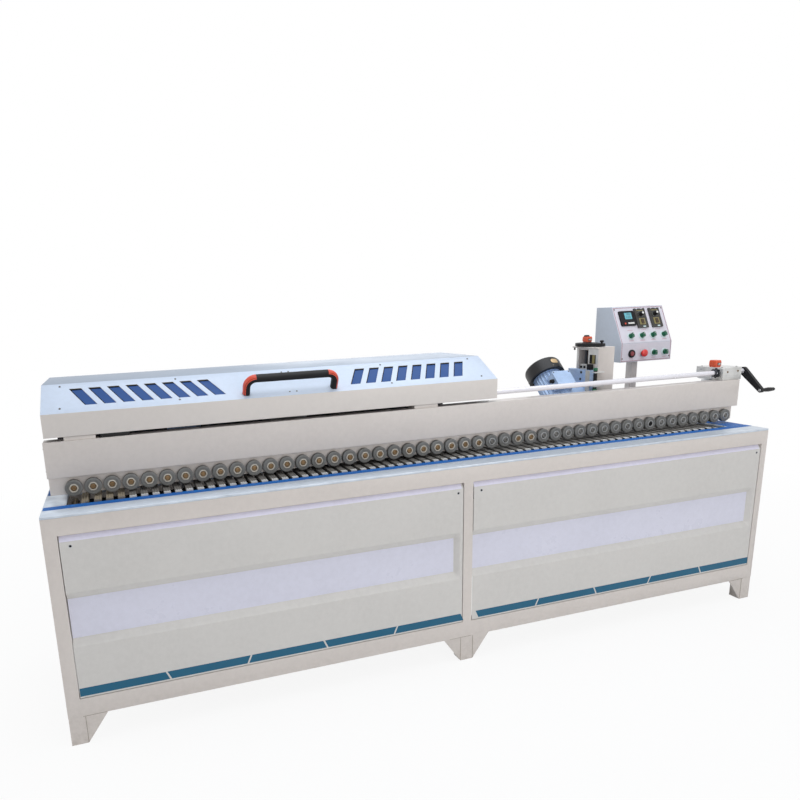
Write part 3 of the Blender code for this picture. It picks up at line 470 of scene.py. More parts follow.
def film(name, colour, pale, roughness=0.25, depth=0.0006, **plain):
    """Protective plastic film, paler where it has lifted in folds."""
    material, tree, shader, place = finish_of(name, **plain)
    folds = placed(tree, creases, {"Vector": place})
    colours = {0: folds.outputs["Pale"], 6: tone(*colour), 7: tone(*pale)}
    mixed = add(tree, "Mix", colours, data_type="RGBA")
    worn = placed(tree, weathering, {
        "Vector": place, "Color": mixed.outputs[2], "Roughness": roughness, "Dust": 0.12, "Patches": 0.1,
    })
    surfaced(tree, shader, worn, folds.outputs["Height"], depth)
    return material


cream = paint("cream_paint", (219, 211, 205), 0.36)
panel_paint = paint("panel_paint", (214, 211, 207), 0.34)
# The pale lip film: the film's colour, painted paler as a highlight of the lit rolled lip.
lip_film_and_painted_highlight = paint("pale_lip_film", (226, 223, 240), 0.3, peel=0.00002, dust=0.05)
hood_paint = paint("hood_paint", (222, 215, 209), 0.4, dust=0.05, patches=0.03)
# Lit and shaded copies of the hood paint: a painted sky reflection for the slope, painted shade for the
# flat top.
hood_slope_painted_sky_reflection = paint("hood_slope_painted_sky_reflection", (204, 216, 234), 0.4, dust=0.05, patches=0.03)
hood_top_painted_shade = paint("hood_top_painted_shade", (160, 170, 184), 0.5, dust=0.05, patches=0.03)
# Painted shade: a near-black colour for the hood's inside faces and the front of the plate under the hood,
# where shade falls.
painted_shade_under_hood = paint("painted_shade_inside_hood", (30, 27, 33), 0.7, Specular_IOR_Level=0.1)
seam_shade = paint("weld_seam_shade", (150, 140, 128), 0.6)
print_film = paint("bare_print_film", (221, 221, 236), 0.3, peel=0.00002, Coat_Weight=0.3)
teal_film = paint("teal_stripe", (0, 92, 124), 0.55, peel=0.00002, dust=0.05)
blue_film = film("blue_protective_film", (0, 92, 172), (10, 140, 216), 0.5, 0.0003, Specular_IOR_Level=0.2)
# The plate's bluish tint is partly a painted sky reflection on the steel.
table_steel_and_sky_tint = metal("ground_table_plate", (212, 221, 232), 0.34, 0.35)
# The pad tread colour is darkened as painted shade from the beam and rollers above, and the pale end colour
# below is painted light on the pads' front ends.
pad_rubber = paint("pad_rubber", (112, 109, 106), 0.72, 420.0, 0.0002, 0.2, 0.25)
pad_end_painted_light = paint("pad_end_painted_light", (206, 206, 204), 0.6, 420.0, 0.0001, 0.1, 0.1)
pad_rubber_used = paint("pad_rubber_used", (150, 138, 118), 0.75, 420.0, 0.0002, 0.3, 0.3)
pad_core = metal("pad_core", (40, 39, 40), 0.5, 0.7)
chain_steel = metal("chain_steel", (52, 50, 50), 0.45, 0.9)
tyre_rubber = paint("tyre_rubber", (120, 120, 118), 0.7, 380.0, 0.00025, 0.22, 0.22)
hub_cream = paint("hub_cream", (212, 204, 190), 0.5, patches=0.15)
hub_grey = paint("hub_grey", (176, 176, 174), 0.5, patches=0.2)
bolt_bronze = metal("bolt_bronze", (128, 104, 74), 0.42, 0.7)
bolt_grey = metal("bolt_grey", (116, 114, 110), 0.42, 0.8)
steel = metal("ground_steel", (196, 198, 202), 0.3)
blackened = metal("blackened_steel", (62, 64, 70), 0.42, 0.8)
shaft_steel = paint("polished_shaft_steel", (238, 236, 242), 0.22, 60.0, 0.00001, 0.04, 0.05, Metallic=0.35)
window_blue = paint("tinted_window", (34, 76, 138), 0.5, peel=0.00001, dust=0.02, Specular_IOR_Level=0.25)
black_plastic = paint("black_plastic", (20, 19, 23), 0.55, 900.0, 0.00008, 0.02, Specular_IOR_Level=0.25)
black_matt = paint("black_matt", (12, 12, 14), 0.7, 500.0, 0.0001, 0.02, Specular_IOR_Level=0.2)
red_plastic = paint("red_orange_plastic", (216, 74, 48), 0.32, 900.0, 0.00005, 0.04)
indicator_orange = paint("indicator_orange_plastic", (220, 84, 44), 0.3, 900.0, 0.00004, 0.04)
crank_enamel = paint("crank_enamel", (20, 20, 23), 0.45, 300.0, 0.00012, 0.03, Specular_IOR_Level=0.3)
cast_blue = metal("light_blue_alloy", (178, 202, 236), 0.4, 0.12, (300.0, 300.0, 300.0), 0.00005)
bracket_alloy = metal("bracket_alloy", (222, 221, 218), 0.36, 0.3)
fan_black = paint("fan_cover_enamel", (16, 16, 20), 0.4, 500.0, 0.00006, 0.02, Specular_IOR_Level=0.35)
gold_plate = metal("bare_gold_plate", (214, 184, 140), 0.4, 0.3)
gear_blue = paint("gearmotor_enamel", (58, 88, 122), 0.42)
pot_alloy = metal("pot_alloy", (176, 178, 180), 0.42, 0.8, (260.0, 260.0, 260.0), 0.00008)
control_side = paint("control_box_side", (188, 196, 208), 0.36, 900.0, 0.00005)
control_face = paint("control_box_face", (222, 218, 228), 0.34, peel=0.00002, dust=0.03)
border_red = paint("border_line_red", (158, 96, 112), 0.4)
print_pink = paint("faint_print_line", (206, 168, 182), 0.4)
display_cyan = paint("display_cyan", (92, 184, 200), 0.12, peel=0.00001, dust=0.0, Coat_Weight=1.0)
white_plastic = paint("white_plastic", (236, 234, 230), 0.35, dust=0.03)
olive_plastic = paint("olive_rocker_surround", (142, 130, 84), 0.4)
brown_plastic = paint("brown_rocker", (58, 40, 20), 0.3)
label_black = paint("controller_face_black", (48, 46, 44), 0.45, dust=0.05)
green_plastic = paint("selector_green_plastic", (0, 92, 62), 0.26, 900.0, 0.00004, 0.02, Coat_Weight=0.3)
ring_pale = paint("selector_ring_pale", (206, 226, 226), 0.3, dust=0.03)
button_dark_red = paint("button_dark_red", (132, 22, 34), 0.2, 900.0, 0.00003, 0.02, Coat_Weight=0.5)
stop_red = paint("stop_red", (222, 46, 42), 0.26, 900.0, 0.00004, 0.02, Coat_Weight=0.3)
ring_green = paint("cylinder_ring_green", (24, 104, 70), 0.35)
glue_amber = paint("glue_amber", (176, 128, 58), 0.25, 120.0, 0.0008, 0.05, 0.3)
carbide = metal("carbide_edge", (150, 152, 158), 0.22)


cab_low, cab_high = corners("cabinet_frame")
left, front, right = cab_low[0], cab_low[1], cab_high[0]
table_z = corners("table_top")[1][2]


# ---------------------------------------------------------------- cabinet

STRIPE_LEAN, STRIPE_GAP = 0.014, 0.0035


def eased(at, knots, values, radius):
    """A polyline read through a short moving average, so that its corners come out round."""
    shifts = np.linspace(-radius, radius, 5)
    return np.mean([np.interp(at + shift, knots, values) for shift in shifts], axis=0)


def around(knots, radius):
    """Positions close together round each knot, for a surface that bends there."""
    steps = (-1.2, -0.6, 0, 0.6, 1.2)
    return np.unique(np.concatenate([np.array(knots) + radius * step for step in steps]))


def strip_of(start, end, start_slant, end_slant, low, high):
    """A stuck-on stripe on the front with slanted ends. Each end's top goes by its slant, -1, 0
    or 1, times the lean, and its foot by half of that the other way."""
    foot = (start - start_slant * STRIPE_LEAN / 2, end - end_slant * STRIPE_LEAN / 2)
    top = (foot[0] + start_slant * STRIPE_LEAN, foot[1] + end_slant * STRIPE_LEAN)
    outline = [(foot[0], low), (foot[1], low), (top[1], high), (top[0], high)]
    return moved(drawn(outline, 0, 0.0004), (0, front - 0.0001, 0), FORWARDS)


def make_panel(node, name, runs):
    """A front panel: y = front + band(z) times reach(x) + rolled(z) + corner(x). band presses
    the middle in, reach ends it short of the right edge, and rolled leans the top lip back."""
    low, high = corners(node)
    opening = low[2] - 0.003
    bends = opening + np.array([0.1985, 0.223, 0.3735, 0.398])
    lip = high[2] - 0.020
    radius = 0.0022
    z = np.concatenate([
        [low[2]], around(bends, radius), around([lip], radius), [high[2] - 0.007, high[2]],
    ])
    ends = high[0] - np.array([0.030, 0.014])
    corner_x = [high[0] - 0.003, high[0]]
    x = np.concatenate([np.linspace(low[0], ends[0] - 0.01, 30), around(ends, radius), corner_x])
    band = eased(z, bends, [0, 0.019, 0.019, 0], radius)
    rolled = eased(z, [lip, high[2]], [0, 0.012], radius)
    reach = eased(x, ends, [1, 0], radius)
    corner = np.interp(x, corner_x, [0, 0.0012])
    pressed = front + np.outer(band, reach) + rolled[:, None] + corner[None, :]
    sheet = folded(field(x, pressed, z[:, None]), (0, 0.0016, 0))
    piece(f"{name}_sheet", "base", [(panel_paint, sheet)], [node])

    # The film on the rolled lip also carries a painted highlight of the lit lip.
    lip_z = np.array([lip + 0.0005, high[2] - 0.0015])
    lip_y = front - 0.0005 + 0.012 * (lip_z - lip) / (high[2] - lip)
    lip_x = np.array([low[0] + 0.001, high[0] - 0.008])
    strip = folded(field(lip_x, lip_y[:, None], lip_z[:, None]), (0, 0.0004, 0))
    piece(f"{name}_lip_film", "base", [(lip_film_and_painted_highlight, strip)])

    bare = block((low[0] + 0.0005, 0, bends[1] + 0.002), (ends[0] - 0.003, 0.0004, bends[2] - 0.002))
    film_place = (0, front + 0.0184, 0)
    piece(f"{name}_print_film", "base", [fitted(print_film, bare, film_place)])

    stripes = [(teal_film, strip_of(*run, opening + 0.0095, opening + 0.0405)) for run in runs]
    piece(f"{name}_stripe", "base", stripes)

    lock = turned([
        (0, -0.004), (0.0062, -0.004), (0.0062, 0.0006), (0.0052, 0.0012), (0.0042, 0.0004),
        (0.0038, -0.0030), (0, -0.0030),
    ], 24)
    key = barrel(0, 0.0041, -0.003, 0.0007, 16)
    locks = []
    for at in (low[0] + 0.034, high[0] - 0.023):
        place = (at, front, high[2] - 0.037)
        locks += [fitted(steel, lock, place, FORWARDS), fitted(black_matt, key, place, FORWARDS)]
    piece(f"{name}_locks", "base", locks)


def louvre(length, height, depth):
    """A pressed louvre in X and Y facing Z: it swells towards its lower lip and to its middle,
    z = depth sin(u pi)^0.4 (1 - v^2)."""
    u, v = np.linspace(0, 1, 13), np.linspace(0, 1, 6)
    swell = depth * np.outer(1 - v ** 2, np.clip(np.sin(np.pi * u), 0, 1) ** 0.4)
    return folded(field((u - 0.5) * length, (v * height)[:, None], swell + 0.0004), (0, 0, -0.0008))


def make_vented_sheet(node, axes, centre, half_width, half_height, columns):
    """A flat cover panel with columns of eight louvres, a black strip of painted shade in each louvre's
    mouth, and a screw at each corner.
    """
    softened(node, cream, 0.0006)
    parts = []
    rows, row_pitch, column_pitch, length = 8, 0.030, 0.26, 0.16
    vent, screw = louvre(length, 0.018, 0.006), screw_head(0.006, 0.003)
    # A black strip at each louvre's mouth is painted shade of the opening.
    slot = block((-length / 2 + 0.008, -0.0012, 0), (length / 2 - 0.008, 0.0005, 0.0014))
    for column in range(columns):
        for row in range(rows):
            local = ((column - (columns - 1) / 2) * column_pitch, (row - rows / 2) * row_pitch, 0)
            parts += [(cream, moved(vent, local)), (black_matt, moved(slot, local))]
    for sx in (-1, 1):
        for sy in (-1, 1):
            parts.append((steel, moved(screw, (sx * half_width, sy * half_height, 0))))
    piece(f"{node}_louvres", "base", all_fitted(parts, centre, axes))


def make_front_panels():
    """Both front panels, with their stripes broken at these places along the machine."""
    panels = (
        (
            "left", corners("front_panel_left")[0][0] + 0.001, -0.1018,
            (-1.3025, -1.0027, -0.7006, -0.4024), (0, -1, 1, -1, 1, -1),
        ),
        (
            "right", -0.0307, corners("front_panel_right")[1][0] - 0.001,
            (0.265, 0.5691, 0.87, 1.1683), (-1, 1, -1, 1, -1, 0),
        ),
    )
    for side, first, last, breaks, slants in panels:
        starts = [first, *(at + STRIPE_GAP for at in breaks)]
        ends = [*(at - STRIPE_GAP for at in breaks), last]
        runs = list(zip(starts, ends, slants[:-1], slants[1:]))
        make_panel(f"front_panel_{side}", f"{side}_panel", runs)


def make_weld_seams():
    """Faint seams where each foot and the middle leg meet the bottom rail."""
    leg_foot, rail_low = 0.004, cab_low[2] + 0.108
    leg_top = rail_low - 0.002
    middle = (left + right) / 2
    lines = []
    for side, at in ((1, left), (-1, right)):
        edge = at + side * 0.0575
        near, far = sorted((at + side * 0.050, at + side * 0.130))
        lines.append((edge - 0.0007, edge + 0.0007, leg_foot, leg_top))
        lines.append((near, far, rail_low - 0.0007, rail_low + 0.0007))
    for edge in (middle - 0.0285, middle + 0.0285):
        lines.append((edge - 0.0006, edge + 0.0006, leg_foot, leg_top))
    lines.append((middle - 0.08, middle + 0.02, rail_low - 0.0006, rail_low + 0.0006))
    seams = [
        (seam_shade, block((x0, front - 0.0003, z0), (x1, front + 0.001, z1)))
        for x0, x1, z0, z1 in lines
    ]
    piece("foot_weld_seams", "base", seams)


def make_cabinet():
    """The frame, its panels and seams, the table plate and the three vented covers."""
    softened("cabinet_frame", cream, 0.0014)
    make_front_panels()
    make_weld_seams()
    softened("table_top", table_steel_and_sky_tint, 0.0008)
    low, high = corners("rear_panel")
    centre = ((low[0] + high[0]) / 2, high[1], (cab_low[2] + cab_high[2]) / 2 + 0.04)
    make_vented_sheet("rear_panel", BACKWARDS, centre, (high[0] - low[0]) / 2 - 0.03, 0.27, 6)
    low, high = corners("left_end_panel")
    half = (high - low) / 2 - 0.018
    middle_y, middle_z = (low[1] + high[1]) / 2, (low[2] + high[2]) / 2
    right_face = corners("right_end_panel")[1][0]
    for side, axes, face in (("left", LEFTWARDS, low[0]), ("right", SIDEWAYS, right_face)):
        make_vented_sheet(f"{side}_end_panel", axes, (face, middle_y, middle_z), half[1], half[2], 2)


def film_on_table(x0, x1, y0, y1, wander):
    """A strip of film on the table. Its long edges wander by a sum of sines, and it stands a
    hair off the plate in slow ripples."""
    x = np.linspace(x0, x1, max(6, int((x1 - x0) / 0.02)))
    rows = np.linspace(0, 1, 5)
    near = y0 + wander * (np.sin(5.1 * x) + 0.6 * np.sin(17.3 * x + 1.0)) / 1.6
    far = y1 + wander * (np.sin(4.3 * x + 2.0) + 0.5 * np.sin(23.0 * x)) / 1.5
    y = near[None, :] + np.outer(rows, far - near)
    ripple = 0.0003 + 0.0002 * np.outer(np.sin(np.pi * rows), 1 + np.sin(31.0 * x))
    return folded(field(x, y, table_z + ripple + 0.0004), (0, 0, -0.0005))


def make_table_film():
    """Film left on the table in front of the chain, behind it and past its right end."""
    chain_low, chain_high = corners("conveyor_chain")
    slot_front, slot_back = chain_low[1] - 0.0045, chain_high[1] + 0.0045
    near = film_on_table(left + 0.003, right - 0.004, front + 0.079, slot_front, 0.0015)
    far = film_on_table(left + 0.003, right - 0.004, slot_back + 0.004, slot_back + 0.12, 0.003)
    end = film_on_table(chain_high[0] - 0.005, right - 0.006, slot_front + 0.004, slot_back + 0.002, 0.002)
    piece("table_film_near", "base", [(blue_film, near)])
    piece("table_film_far", "base", [(blue_film, far)])
    piece("table_film_end", "base", [(blue_film, end)])


# ---------------------------------------------------------------- conveyor

def make_chain():
    """Chain pads carried round two half turns joined by straight runs. At the angle turn from
    the upper run, travel points along (cos, -sin) and outwards is (sin, cos) in X and Z."""
    low, high = corners("conveyor_chain")
    pitch_line_to_top = 0.022
    axis_z = (low[2] + high[2]) / 2
    radius = (high[2] - low[2]) / 2 - pitch_line_to_top
    run = high[0] - low[0] - 2 * (radius + pitch_line_to_top)
    first, last = low[0] + radius + pitch_line_to_top, high[0] - radius - pitch_line_to_top
    length = 2 * run + math.tau * radius
    count = round(length / 0.04)
    bends = np.cumsum([0, run, math.pi * radius, run, math.pi * radius])

    half = 0.0122
    tread_half = [
        (half, 0.0105), (half, 0.0205), (half - 0.0018, 0.0220), (0.0062, 0.0220), (0.0052, 0.0208),
        (0.0038, 0.0208), (0.0028, 0.0220),
    ]
    tread = [(-half, 0.0105), *tread_half, *((-x, z) for x, z in tread_half[:0:-1])]
    foot = half - 0.001
    carrier = [(-foot, 0.0045), (foot, 0.0045), (foot, 0.0108), (-foot, 0.0108)]
    side = (high[1] - low[1]) / 2
    middle = (low[1] + high[1]) / 2
    tread_shape = moved(drawn(tread, -side, side), axes=FORWARDS)
    end_shape = moved(drawn(tread, side - 0.0135, side + 0.0004), (0, 0, 0.0003), FORWARDS)
    carrier_shape = moved(drawn(carrier, -side + 0.004, side - 0.004), axes=FORWARDS)
    plate = oval(0.024, 0.0075, 10)
    plates = together(*(moved(drawn(plate, at, at + 0.002), axes=FORWARDS) for at in (-0.014, 0.012)))
    pin = moved(barrel(0, 0.004, -0.016, 0.016, 8), axes=FORWARDS)

    parts = []
    for link in range(count):
        distance = (link + 0.5) * length / count
        span = int(np.searchsorted(bends, distance, side="right")) - 1
        turn = 0 if span < 2 else math.pi
        if span in (0, 2):
            x = first + distance if span == 0 else last - (distance - bends[2])
        else:
            turn += (distance - bends[span]) / radius
            x = (last if span == 1 else first) + radius * math.sin(turn)
        c, s = math.cos(turn), math.sin(turn)
        axes = np.array([(c, 0, s), (0, 1, 0), (-s, 0, c)], float)
        place = (x, middle, axis_z + radius * c)
        worn = link < 3 or link > count - 5
        # Plain pads: a darkened tread (painted shade) and a pale front end (painted light).
        parts.append(fitted(pad_rubber_used if worn else pad_rubber, tread_shape, place, axes))
        parts.append(fitted(pad_rubber if worn else pad_end_painted_light, end_shape, place, axes))
        parts.append(fitted(pad_core, carrier_shape, place, axes))
        parts.append(fitted(chain_steel, plates, place, axes))
        parts.append(fitted(chain_steel, pin, place, axes))
    piece("conveyor_pads", "base", parts, ["conveyor_chain"])


def make_drive():
    """The conveyor's frame and sprockets, and its gearmotor with a row of cooling ribs."""
    softened("conveyor_frame", steel, 0.0008)
    softened("conveyor_gearmotor", gear_blue, 0.004, 3)
    softened("drive_sprocket", blackened, 0.0008)
    softened("idler_sprocket", blackened, 0.0008)
    low = corners("conveyor_gearmotor")[0]
    motor_y = middle_of("conveyor_gearmotor")[1]
    motor_z = middle_of("drive_sprocket")[2] - 0.03
    profile = [(0, 0), (0.0515, 0), (0.0515, 0.004), (0.0502, 0.005), (0.0502, 0.006), (0, 0.006)]
    rings = [
        fitted(gear_blue, turned(profile, 32), (low[0] + 0.02 + 0.012 * step, motor_y, motor_z), SIDEWAYS)
        for step in range(16)
    ]
    piece("conveyor_motor_ribs", "base", rings)


# ---------------------------------------------------------------- press beam

def roller_parts(place, h, r, hub, bolt, start):
    """A rubber-tyred press roller of radius r and half width h on its bolt: tyre, hub with a
    six-sided rim, and bolt head."""
    tyre = [
        (r * 0.50, -h), (r * 0.96, -h), (r, -h + 0.0015), (r, h - 0.0022), (r * 0.965, h - 0.0008),
        (r * 0.90, h), (r * 0.74, h), (r * 0.71, h - 0.0009), (r * 0.67, h - 0.0009), (r * 0.64, h),
        (r * 0.53, h - 0.0002), (r * 0.50, h - 0.002),
    ]
    rim = [
        (r * 0.36, -h + 0.001), (r * 0.52, -h + 0.001), (r * 0.52, h + 0.0002), (r * 0.49, h + 0.0016),
        (r * 0.42, h + 0.0018), (r * 0.385, h + 0.0010), (r * 0.36, h - 0.0020),
    ]
    head = [
        (0, -h - 0.001), (r * 0.35, -h - 0.001), (r * 0.35, h - 0.002), (r * 0.31, h + 0.0008),
        (r * 0.26, h + 0.0020), (r * 0.17, h + 0.0022), (r * 0.13, h + 0.0006), (0, h + 0.0006),
    ]
    return [
        fitted(tyre_rubber, turned(tyre, 28), place, FORWARDS),
        fitted(hub, turned(rim, 24, 6, 0.035, start), place, FORWARDS),
        fitted(bolt, turned(head, 18, 6, 0.03, start + 0.4), place, FORWARDS),
    ]


def make_rollers():
    """Rollers at an even pitch from the first loose roller to the last one in the bank. Hubs
    and bolts are grey further along, and one bolt is black."""
    first_low, first_high = corners("pressure_roller_1")
    radius, half_width = (first_high[:2] - first_low[:2]) / 2
    pitch = corners("pressure_roller_2")[0][0] - first_low[0]
    start_x, y, z = middle_of("pressure_roller_1")
    count = round((corners("roller_bank")[1][0] - radius - start_x) / pitch) + 1
    grey_from, black_one, loose = 24, 39, 3
    washer = barrel(0.004, 0.0085, 0, 0.0012, 12)
    bank = []
    for index in range(count):
        grey = index > grey_from + 6 * chance.random()
        hub, bolt = (hub_grey if grey else hub_cream), (bolt_grey if grey else bolt_bronze)
        if index == black_one:
            bolt = black_matt
        x = start_x + index * pitch
        own = roller_parts((x, y, z), half_width, radius, hub, bolt, chance.random())
        if index < loose:
            name = f"roller_{index + 1}"
            piece(f"press_{name}", name, own, [f"pressure_{name}"])
        else:
            bank += own
            bank.append(fitted(steel, washer, (x, y + half_width + 0.0013, z), FORWARDS))
    piece("press_roller_row", "beam", bank, ["roller_bank"])


def make_beam():
    """The beam over the rollers and their carrier, with end screws and a row of screws behind."""
    softened("press_beam", cream, 0.0016)
    softened("roller_carrier", cream, 0.001)
    low, high = corners("press_beam")
    parts = []
    for dy, dz in ((0.015, 0.025), (0.045, 0.025), (0.015, 0.105), (0.045, 0.105)):
        for x, axes in ((high[0], SIDEWAYS), (low[0], LEFTWARDS)):
            place = (x, low[1] + dy, low[2] + dz)
            parts.append(fitted(bolt_grey, screw_head(0.0038, 0.002), place, axes))
    low, high = corners("roller_carrier")
    for x in np.linspace(low[0] + 0.06, high[0] - 0.06, 24):
        place = (x, high[1], (low[2] + high[2]) / 2)
        parts.append(fitted(steel, screw_head(0.006, 0.004), place, BACKWARDS))
    piece("beam_screws", "beam", parts)
    softened("hood_support", cream, 0.0012)


# ---------------------------------------------------------------- lift

def threaded(radius, depth, pitch, low, high):
    """A screw thread: radius less depth times a triangle wave of (height / pitch - turn / tau)."""
    rows = max(4, int((high - low) / pitch * 5))
    z = np.linspace(low, high, rows)
    turn = np.linspace(0, math.tau, 14, endpoint=False)
    phase = (z[:, None] / pitch - turn[None, :] / math.tau) % 1
    r = radius - depth * np.abs(2 * phase - 1)
    return skin(field(r * np.cos(turn), r * np.sin(turn), z[:, None]), ring=True, ends=True)


def geared(teeth, tip, root, tip_far, low, high):
    """A bevel gear: the radius is root plus (tip - root) times a flat-topped wave of the turn,
    shrinking along the axis towards the far end."""
    turn = np.linspace(0, math.tau, teeth * 8, endpoint=False)
    wave = np.clip(0.5 + 1.3 * np.cos(teeth * turn), 0, 1)
    z = np.array([low, low + 0.002, high - 0.004, high])
    share = np.array([0.96, 1.0, tip_far, tip_far * 0.8])
    r = share[:, None] * (root + (tip - root) * wave[None, :])
    return skin(field(r * np.cos(turn), r * np.sin(turn), z[:, None]), ring=True, ends=True)


def make_cross_shaft():
    """The shaft across the machine with its bevel gear, spacer, collar and collar screw."""
    low, high = corners("cross_shaft")
    axis = middle_of("cross_shaft") * (0, 1, 1)
    start, end, r = low[0], high[0], 0.0115
    rod = [
        (0, start), (r - 0.0015, start), (r, start + 0.0015), (r, end - 0.001), (r - 0.001, end), (0, end),
    ]
    collar = [
        (0.0116, -0.006), (0.017, -0.006), (0.0178, -0.005), (0.0178, 0.005), (0.017, 0.006),
        (0.0116, 0.006),
    ]
    gear_at = axis + (corners("lift_housing_right")[0][0] - 0.018, 0, 0)
    collar_at = gear_at - (0.007, 0, 0)
    parts = [
        fitted(shaft_steel, turned(rod, 24), axis, SIDEWAYS),
        fitted(blackened, geared(8, 0.0245, 0.0175, 0.92, 0, 0.0125), gear_at, SIDEWAYS),
        fitted(steel, barrel(r, 0.0135, 0.0126, 0.0172, 24), gear_at, SIDEWAYS),
        fitted(blackened, turned(collar, 24), collar_at, SIDEWAYS),
        fitted(steel, screw_head(0.0028, 0.0018), collar_at - (0, 0.0176, 0), FORWARDS),
    ]
    piece("cross_shaft_turned", "crank", parts, ["cross_shaft"])


def make_gear_case_screws():
    """Screws on the front, both sides and the top of the right gear case, and its bearing."""
    low, high = corners("lift_housing_right")
    screws = []
    for x, z in ((0.027, 0.039), (0.091, 0.041)):
        place = (low[0] + x, low[1], low[2] + z)
        screws.append(fitted(bolt_bronze, screw_head(0.0044, 0.0022), place, FORWARDS))
    for dy in (0.06, 0.125):
        for dz in (0.012, 0.048):
            for x, axes in ((low[0], LEFTWARDS), (high[0], SIDEWAYS)):
                place = (x, low[1] + dy, low[2] + dz)
                screws.append(fitted(steel, screw_head(0.0042, 0.0025), place, axes))
    bearing = [
        (0.0135, 0), (0.024, 0), (0.024, 0.0025), (0.0225, 0.0035), (0.0155, 0.0035), (0.0135, 0.002),
    ]
    shaft_y, shaft_z = middle_of("cross_shaft")[1:]
    screws.append(fitted(steel, turned(bearing, 28), (high[0], shaft_y, shaft_z), SIDEWAYS))
    x, y = middle_of("lift_housing_right")[:2]
    for dx in (-0.045, 0.045):
        for dy in (-0.056, 0.056):
            place = (x + dx, y + dy, high[2] - 0.0002)
            screws.append(fitted(bolt_grey, screw_head(0.004, 0.0025), place))
    piece("gear_case_screws", "beam", screws)


def make_lift():
    """What raises the beam: shaft, gear cases, posts, threaded screws, counter and crank."""
    make_cross_shaft()
    softened("lift_housing_right", bracket_alloy, 0.0018)
    softened("lift_housing_left", crank_enamel, 0.002)
    for side in ("left", "right"):
        softened(f"lift_post_{side}", steel, 0.0012)
        name = f"lift_screw_{side}"
        low, high = corners(name)
        screw = moved(threaded(0.0099, 0.0012, 0.005, low[2], high[2]), middle_of(name) * (1, 1, 0))
        piece(f"{name}_thread", f"screw_{side}", [(steel, screw)], [name])
    make_gear_case_screws()
    make_counter("height_indicator", "height_counter", "beam")
    make_crank()


def make_counter(node, name, body):
    """A mechanical position counter: a rounded case that draws in towards its top, and a window
    with five number wheels, the last of them red."""
    low, high = corners(node)
    middle = middle_of(node)
    half = (high - low) / 2
    height = high[2] - low[2]
    outline = rounded(half[0], half[1], 0.008, 5)
    rise = np.array([0, 0.16, 0.18, 0.72, 0.9, 1.0]) * height
    share = np.array([0.90, 0.90, 1.0, 1.0, 0.95, 0.86])
    grid = np.stack([np.column_stack([outline * s, np.full(len(outline), z)]) for s, z in zip(share, rise)])
    case = moved(skin(grid, ring=True, ends=True), (middle[0], middle[1], low[2]))
    face_y = low[1]
    window = block((-half[0] * 0.62, -height * 0.20, 0), (half[0] * 0.62, height * 0.16, 0.0008))
    parts = [
        (indicator_orange, case),
        fitted(black_matt, window, (middle[0], face_y, low[2] + height * 0.48), FORWARDS),
    ]
    shown = "00180"
    wheels = len(shown)
    pitch = half[0] * 1.16 / wheels
    drum = drawn(rounded(pitch * 0.42, height * 0.14, 0.0008, 2), 0, 0.0006)
    for wheel, digit in enumerate(shown):
        x = middle[0] + (wheel - (wheels - 1) / 2) * pitch
        z = low[2] + height * 0.46
        drum_finish, ink = (white_plastic, black_matt) if wheel < wheels - 1 else (stop_red, white_plastic)
        parts.append(fitted(drum_finish, drum, (x, face_y - 0.0008, z), FORWARDS))
        parts.append(fitted(ink, digit_shape(digit, height * 0.2), (x, face_y - 0.0013, z), FORWARDS))
    piece(name, body, parts, [node])


SEGMENTS = {
    "0": "abcdef", "1": "bc", "2": "abged", "3": "abgcd", "4": "fgbc",
    "5": "afgcd", "6": "afgedc", "7": "abc", "8": "abcdefg", "9": "abcdfg",
}


def digit_shape(digit, height):
    """A plain digit of up to seven bars, centred, in X and Y."""
    w, h, t = height * 0.26, height / 2, height * 0.07
    bars = {
        "a": (-w, h - t, w, h + t), "g": (-w, -t, w, t), "d": (-w, -h - t, w, -h + t),
        "f": (-w - t, 0, -w + t, h), "b": (w - t, 0, w + t, h),
        "e": (-w - t, -h, -w + t, 0), "c": (w - t, -h, w + t, 0),
    }
    shapes = []
    for order, bar in enumerate(SEGMENTS[digit]):
        x0, y0, x1, y1 = bars[bar]
        shapes.append(block((x0, y0, 0), (x1, y1, 0.00025 + order * 0.00001)))
    return together(*shapes)


